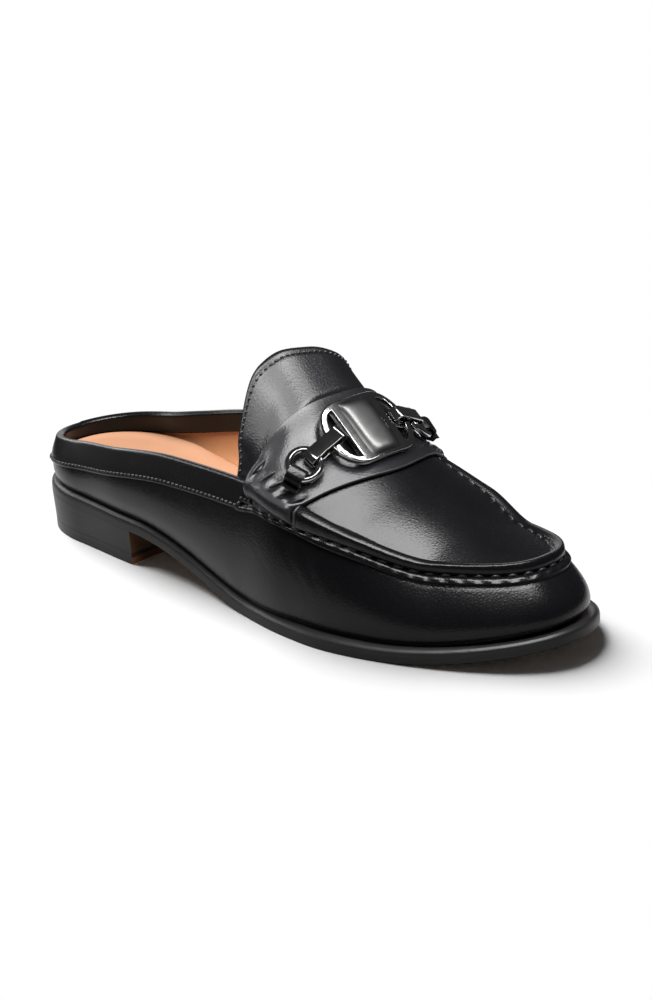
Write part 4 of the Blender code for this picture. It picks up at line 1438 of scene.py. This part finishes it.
def build_stitches(context):
    thread = context.scene.mule_thread
    waxed = material("waxed_thread", waxed_thread, thread)
    pitch = thread.apron_pitch / MM
    wall, plug, _, _, out, up, valley_row = upper_shape(pitch)
    radius = thread.apron_thickness / MM / 2.0
    top = top_station(LOOP[:, 1])
    rows = []
    for step in (-1, 1):
        run = [k % len(LOOP) for k in range(LAST, LAST + step * LAST, step)]
        run = [k for k in run if top[k] > APRON_STITCH_FROM]
        path = wall[valley_row, run]
        outwards = out[valley_row, run]
        rows.append(stitches_along(path, outwards, pitch, VALLEY_STITCH, radius))
    last_column = plug.shape[1] - 1
    column = last_column - APRON_STITCH_COLUMN
    run = slice(len(plug) - APRON_UNSEWN[1], APRON_UNSEWN[0], -1)
    rows.append(stitches_along(plug[run, column], up[run, column], pitch, APRON_STITCH, radius))
    lateral = int(np.argmin(np.abs(top[: LAST + 1] - CORNER_LOOP)))
    medial = LAST + 1 + int(np.argmin(np.abs(top[LAST + 1 :] - CORNER_LOOP)))
    lateral_columns = list(range(APRON_STITCH_COLUMN, 0, -1))
    medial_columns = list(range(column, last_column))
    corners = (
        (lateral, lateral - THROAT_K, lateral_columns),
        (medial, 2 * LAST - medial - THROAT_K, medial_columns),
    )
    for k, row, columns in corners:
        path = np.concatenate([plug[row, columns], wall[: valley_row - 1 : -1, k]])
        outwards = unit(path - (path[0] + path[-1]) / 2.0 + 1e-3)
        rows.append(one_stitch(path, outwards, CORNER_STITCH, radius))
    settle(stitch_row("apron_stitches", rows, waxed), "upper_leather")
    settle(stitch_row("saddle_stitches", whip_stitches(), waxed), "upper_leather")
    fine = thread.edge_pitch / MM
    edge = (fine, fine * EDGE_STITCH, thread.edge_thickness / MM / 2.0, EDGE_STITCH_START)
    at = band_base()
    collar = at(BAND_DEPTH - BAND_STITCH, BAND_GAP + BAND)
    settle(stitch_row("collar_stitches", [collar + edge], waxed), "upper_leather")
    face, _, face_up, from_edge = tongue_grids()
    inset = int(np.argmin(np.abs(from_edge[:, from_edge.shape[1] // 2] - TONGUE_STITCH)))
    flap = (face[inset, 2:-2], face_up[inset, 2:-2])
    settle(stitch_row("tongue_stitches", [flap + edge], waxed), "upper_leather")


def build_floor(stage):
    finish = Finish("pale_floor", Roughness=0.7)
    finish.colour(finish.noise(30.0, 2.0), stage.floor, 0.99, 1.0)
    mesh = bpy.data.meshes.new("floor")
    work = bmesh.new()
    oval = Matrix.Diagonal((FLOOR_HALF[0], FLOOR_HALF[1], 1.0, 1.0))
    bmesh.ops.create_circle(work, cap_ends=True, segments=96, radius=1.0, matrix=oval)
    work.to_mesh(mesh)
    work.free()
    floor = add("floor", mesh, [finish.material])
    return floor


def build_lights(stage, floor):
    """Lights that each fall on one kind of piece, so that each carries its own reflections."""
    metal = [piece for piece in bpy.data.objects if piece.name.startswith("bit_")]
    sock, flap, saddle = (bpy.data.objects[name] for name in ("sock", "tongue_flap", "saddle"))
    lit = {
        "shoe": lit_only("lit_shoe", [floor], True),
        "leather": lit_only("lit_leather", [floor, sock, flap] + metal, True),
        "sock": lit_only("lit_sock", [sock]),
        "metal": lit_only("lit_metal", metal),
        "flap": lit_only("lit_flap", [flap]),
        "saddle": lit_only("lit_saddle", [saddle]),
        "flap_and_saddle": lit_only("lit_tongue", [flap, saddle]),
    }
    overhead = bpy.data.lights.new("overhead", "SUN")
    overhead.energy = stage.overhead
    overhead.angle = math.radians(OVERHEAD_ANGLE)
    place_light("overhead", overhead, OVERHEAD_FROM, lit_only("lit_floor", [floor]))
    for name, where, size, power, share, things in SOFTBOXES:
        softbox(name, where, size, getattr(stage, power) * share, lit[things])


def build_room(context, stage):
    """A dim room for the light, white where the camera looks past the floor."""
    world = bpy.data.worlds.new("studio")
    context.scene.world = world
    world.use_nodes = True
    nodes = Nodes(world.node_tree)
    seen = nodes.value("LightPath", {}, {}, "Is Camera Ray")
    colour = nodes.mix(seen, shade(stage.room), (1.0, 1.0, 1.0, 1.0))
    nodes.feed(nodes.tree.nodes["Background"].inputs["Color"], colour)
    context.scene.view_settings.view_transform = "Standard"


def build_camera(context):
    lens = bpy.data.cameras.new("camera")
    lens.sensor_fit = "VERTICAL"
    lens.sensor_height = VIEW_SENSOR
    lens.lens = VIEW_LENS
    lens.clip_start = VIEW_NEAR
    camera = bpy.data.objects.new("camera", lens)
    context.scene.collection.objects.link(camera)
    forward = (Vector(VIEW_TO) - Vector(VIEW_FROM)).normalized()
    turn = forward.to_track_quat("-Z", "Y").to_matrix().to_4x4()
    roll = Matrix.Rotation(math.radians(VIEW_ROLL), 4, "Z")
    camera.matrix_world = Matrix.Translation(VIEW_FROM) @ turn @ roll
    context.scene.camera = camera


def build_stage(context):
    stage = context.scene.mule_stage
    floor = build_floor(stage)
    build_lights(stage, floor)
    build_room(context, stage)
    build_camera(context)


def lit_only(name, things, missed=False):
    """A collection of the things that a light falls on, or of those that it misses."""
    collection = bpy.data.collections.new(name)
    for thing in things:
        collection.objects.link(thing)
    if missed:
        for one in collection.collection_objects:
            one.light_linking.link_state = "EXCLUDE"
    return collection


def place_light(name, light, where, lit):
    lamp = bpy.data.objects.new(name, light)
    bpy.context.scene.collection.objects.link(lamp)
    lamp.location = where
    lamp.rotation_euler = Vector(where).to_track_quat("Z", "Y").to_euler()
    lamp.light_linking.receiver_collection = lit


def softbox(name, where, size, power, lit):
    light = bpy.data.lights.new(name, "AREA")
    light.shape = "RECTANGLE"
    light.size = size[0]
    light.size_y = size[1]
    light.energy = power
    place_light(name, light, where, lit)


class MuleLeather(bpy.types.PropertyGroup):
    """Colours and grain of the leathers."""

    black: FloatVectorProperty(
        name="Upper",
        description="Colour of the black calf",
        subtype="COLOR",
        default=(0.0022, 0.0022, 0.0026),
    )
    edge: FloatVectorProperty(
        name="Edges",
        description="Colour of the painted edges",
        subtype="COLOR",
        default=(0.006, 0.006, 0.006),
    )
    lining: FloatVectorProperty(
        name="Lining",
        description="Colour of the lining leather",
        subtype="COLOR",
        default=(0.41, 0.18, 0.074),
    )
    sock: FloatVectorProperty(
        name="Sock",
        description="Colour of the sock under the foot",
        subtype="COLOR",
        default=(0.48, 0.245, 0.14),
    )
    stack: FloatVectorProperty(
        name="Heel stack",
        description="Colour of the heel's bare breast",
        subtype="COLOR",
        default=(0.06, 0.025, 0.006),
    )
    lift: FloatVectorProperty(
        name="Heel lift",
        description="Colour of the lift under the heel",
        subtype="COLOR",
        default=(0.16, 0.06, 0.015),
    )
    tread: FloatVectorProperty(
        name="Tread",
        description="Colour of the sole underneath",
        subtype="COLOR",
        default=(0.20, 0.15, 0.105),
    )
    roughness: FloatProperty(
        name="Roughness",
        description="How matt the calf is",
        default=0.25,
        min=0.05,
        max=1.0,
        subtype="FACTOR",
    )
    grain: FloatProperty(
        name="Grain",
        description="Breadth of a pebble of the grain",
        default=0.0012,
        subtype="DISTANCE",
        precision=5,
    )
    grain_depth: FloatProperty(
        name="Grain depth",
        description="Depth of the grain",
        default=0.00006,
        subtype="DISTANCE",
        precision=6,
    )


class MuleThread(bpy.types.PropertyGroup):
    """Stitching."""

    colour: FloatVectorProperty(
        name="Thread",
        description="Colour of the waxed thread",
        subtype="COLOR",
        default=(0.012, 0.012, 0.012),
    )
    apron_pitch: FloatProperty(
        name="Apron pitch",
        description="From one apron stitch to the next",
        default=0.0058,
        subtype="DISTANCE",
    )
    apron_thickness: FloatProperty(
        name="Apron thread",
        description="Thickness of the apron thread",
        default=0.0013,
        subtype="DISTANCE",
    )
    edge_pitch: FloatProperty(
        name="Edge pitch",
        description="From one edge stitch to the next",
        default=0.0025,
        subtype="DISTANCE",
    )
    edge_thickness: FloatProperty(
        name="Edge thread",
        description="Thickness of the edge thread",
        default=0.0010,
        subtype="DISTANCE",
    )


class MuleMetal(bpy.types.PropertyGroup):
    """The bit."""

    colour: FloatVectorProperty(
        name="Metal",
        description="Colour of the plating",
        subtype="COLOR",
        default=(0.46, 0.455, 0.45),
    )
    roughness: FloatProperty(
        name="Roughness",
        description="How far the polish is softened",
        default=0.11,
        min=0.0,
        max=1.0,
        subtype="FACTOR",
    )
    satin: FloatProperty(
        name="Satin",
        description="Roughness of the centre plate's dome",
        default=0.30,
        min=0.0,
        max=1.0,
        subtype="FACTOR",
    )


class MuleStage(bpy.types.PropertyGroup):
    """Floor and light."""

    floor: FloatVectorProperty(
        name="Floor",
        description="Colour of the floor",
        subtype="COLOR",
        default=(0.92, 0.92, 0.92),
    )
    room: FloatVectorProperty(
        name="Room",
        description="Light from the dim room around",
        subtype="COLOR",
        default=(0.045, 0.045, 0.047),
    )
    overhead: FloatProperty(
        name="Overhead",
        description="Strength of the light on the floor",
        default=4.4,
        min=0.0,
    )
    key: FloatProperty(
        name="Key softbox",
        description="Power of the wide box above the camera",
        default=66.0,
        min=0.0,
        unit="POWER",
    )
    tongue: FloatProperty(
        name="Tongue softbox",
        description="Power of the box that lights the tongue and strap",
        default=137.8,
        min=0.0,
        unit="POWER",
    )
    backdrop: FloatProperty(
        name="Backdrop",
        description="Power of the pale wall beyond the shoe",
        default=3.0,
        min=0.0,
        unit="POWER",
    )
    strips: FloatProperty(
        name="Strips",
        description="Power of each narrow box for the metal",
        default=4.5,
        min=0.0,
        unit="POWER",
    )


class MULE_OT_stage(bpy.types.Operator):
    """Sets the floor, the light and the camera."""

    bl_idname = "mule.stage"
    bl_label = "Stage"

    def execute(self, context):
        build_stage(context)
        return {"FINISHED"}


class MULE_OT_sole(bpy.types.Operator):
    """Builds the sole with its painted edge and leather tread."""

    bl_idname = "mule.sole"
    bl_label = "Sole"

    def execute(self, context):
        build_sole(context)
        return {"FINISHED"}


class MULE_OT_heel(bpy.types.Operator):
    """Builds the heel's layers and its lift."""

    bl_idname = "mule.heel"
    bl_label = "Heel"

    def execute(self, context):
        build_heel(context)
        return {"FINISHED"}


class MULE_OT_insole(bpy.types.Operator):
    """Builds the sock under the foot, with its heel cushion."""

    bl_idname = "mule.insole"
    bl_label = "Sock"

    def execute(self, context):
        build_insole(context)
        return {"FINISHED"}


class MULE_OT_upper(bpy.types.Operator):
    """Builds the lined upper with its apron seam and creases."""

    bl_idname = "mule.upper"
    bl_label = "Upper"

    def execute(self, context):
        build_upper(context)
        return {"FINISHED"}


class MULE_OT_collar_band(bpy.types.Operator):
    """Builds the binding folded over the collar."""

    bl_idname = "mule.collar_band"
    bl_label = "Collar binding"

    def execute(self, context):
        build_collar_band(context)
        return {"FINISHED"}


class MULE_OT_saddle(bpy.types.Operator):
    """Builds the strap over the instep."""

    bl_idname = "mule.saddle"
    bl_label = "Saddle strap"

    def execute(self, context):
        build_saddle(context)
        return {"FINISHED"}


class MULE_OT_tongue(bpy.types.Operator):
    """Builds the lined tongue."""

    bl_idname = "mule.tongue"
    bl_label = "Tongue"

    def execute(self, context):
        build_tongue(context)
        return {"FINISHED"}


class MULE_OT_bit(bpy.types.Operator):
    """Builds the rings, links and centre plate of the bit."""

    bl_idname = "mule.bit"
    bl_label = "Bit"

    def execute(self, context):
        build_bit(context)
        return {"FINISHED"}


class MULE_OT_tabs(bpy.types.Operator):
    """Builds the leather tabs that hold the rings."""

    bl_idname = "mule.tabs"
    bl_label = "Ring tabs"

    def execute(self, context):
        build_tabs(context)
        return {"FINISHED"}


class MULE_OT_stitches(bpy.types.Operator):
    """Sews the apron, the saddle strap, the collar binding and the tongue."""

    bl_idname = "mule.stitches"
    bl_label = "Stitches"

    def execute(self, context):
        build_stitches(context)
        return {"FINISHED"}


GROUPS = (
    ("mule_leather", MuleLeather),
    ("mule_thread", MuleThread),
    ("mule_metal", MuleMetal),
    ("mule_stage", MuleStage),
)
OPERATORS = (
    MULE_OT_sole, MULE_OT_heel, MULE_OT_insole, MULE_OT_upper, MULE_OT_collar_band, MULE_OT_saddle,
    MULE_OT_tongue, MULE_OT_bit, MULE_OT_tabs, MULE_OT_stitches, MULE_OT_stage,
)


class MULE_PT_dressing(bpy.types.Panel):
    """Sizes, colours and the steps that build the shoe."""

    bl_idname = "MULE_PT_dressing"
    bl_label = "Mule"
    bl_space_type = "VIEW_3D"
    bl_region_type = "UI"
    bl_category = "Mule"

    def draw(self, context):
        for name, kind in GROUPS:
            box = self.layout.box()
            box.label(text=kind.__doc__)
            for prop in kind.__annotations__:
                box.prop(getattr(context.scene, name), prop)
        for operator in OPERATORS:
            self.layout.operator(operator.bl_idname)


def register():
    for name, kind in GROUPS:
        bpy.utils.register_class(kind)
        setattr(bpy.types.Scene, name, PointerProperty(type=kind))
    for operator in OPERATORS:
        bpy.utils.register_class(operator)
    bpy.utils.register_class(MULE_PT_dressing)


def unregister():
    bpy.utils.unregister_class(MULE_PT_dressing)
    for operator in reversed(OPERATORS):
        bpy.utils.unregister_class(operator)
    for name, kind in reversed(GROUPS):
        delattr(bpy.types.Scene, name)
        bpy.utils.unregister_class(kind)


def main():
    register()
    bpy.ops.mule.sole()
    bpy.ops.mule.heel()
    bpy.ops.mule.insole()
    bpy.ops.mule.upper()
    bpy.ops.mule.collar_band()
    bpy.ops.mule.saddle()
    bpy.ops.mule.tongue()
    bpy.ops.mule.bit()
    bpy.ops.mule.tabs()
    bpy.ops.mule.stitches()
    bpy.ops.mule.stage()


if __name__ == "__main__":
    main()
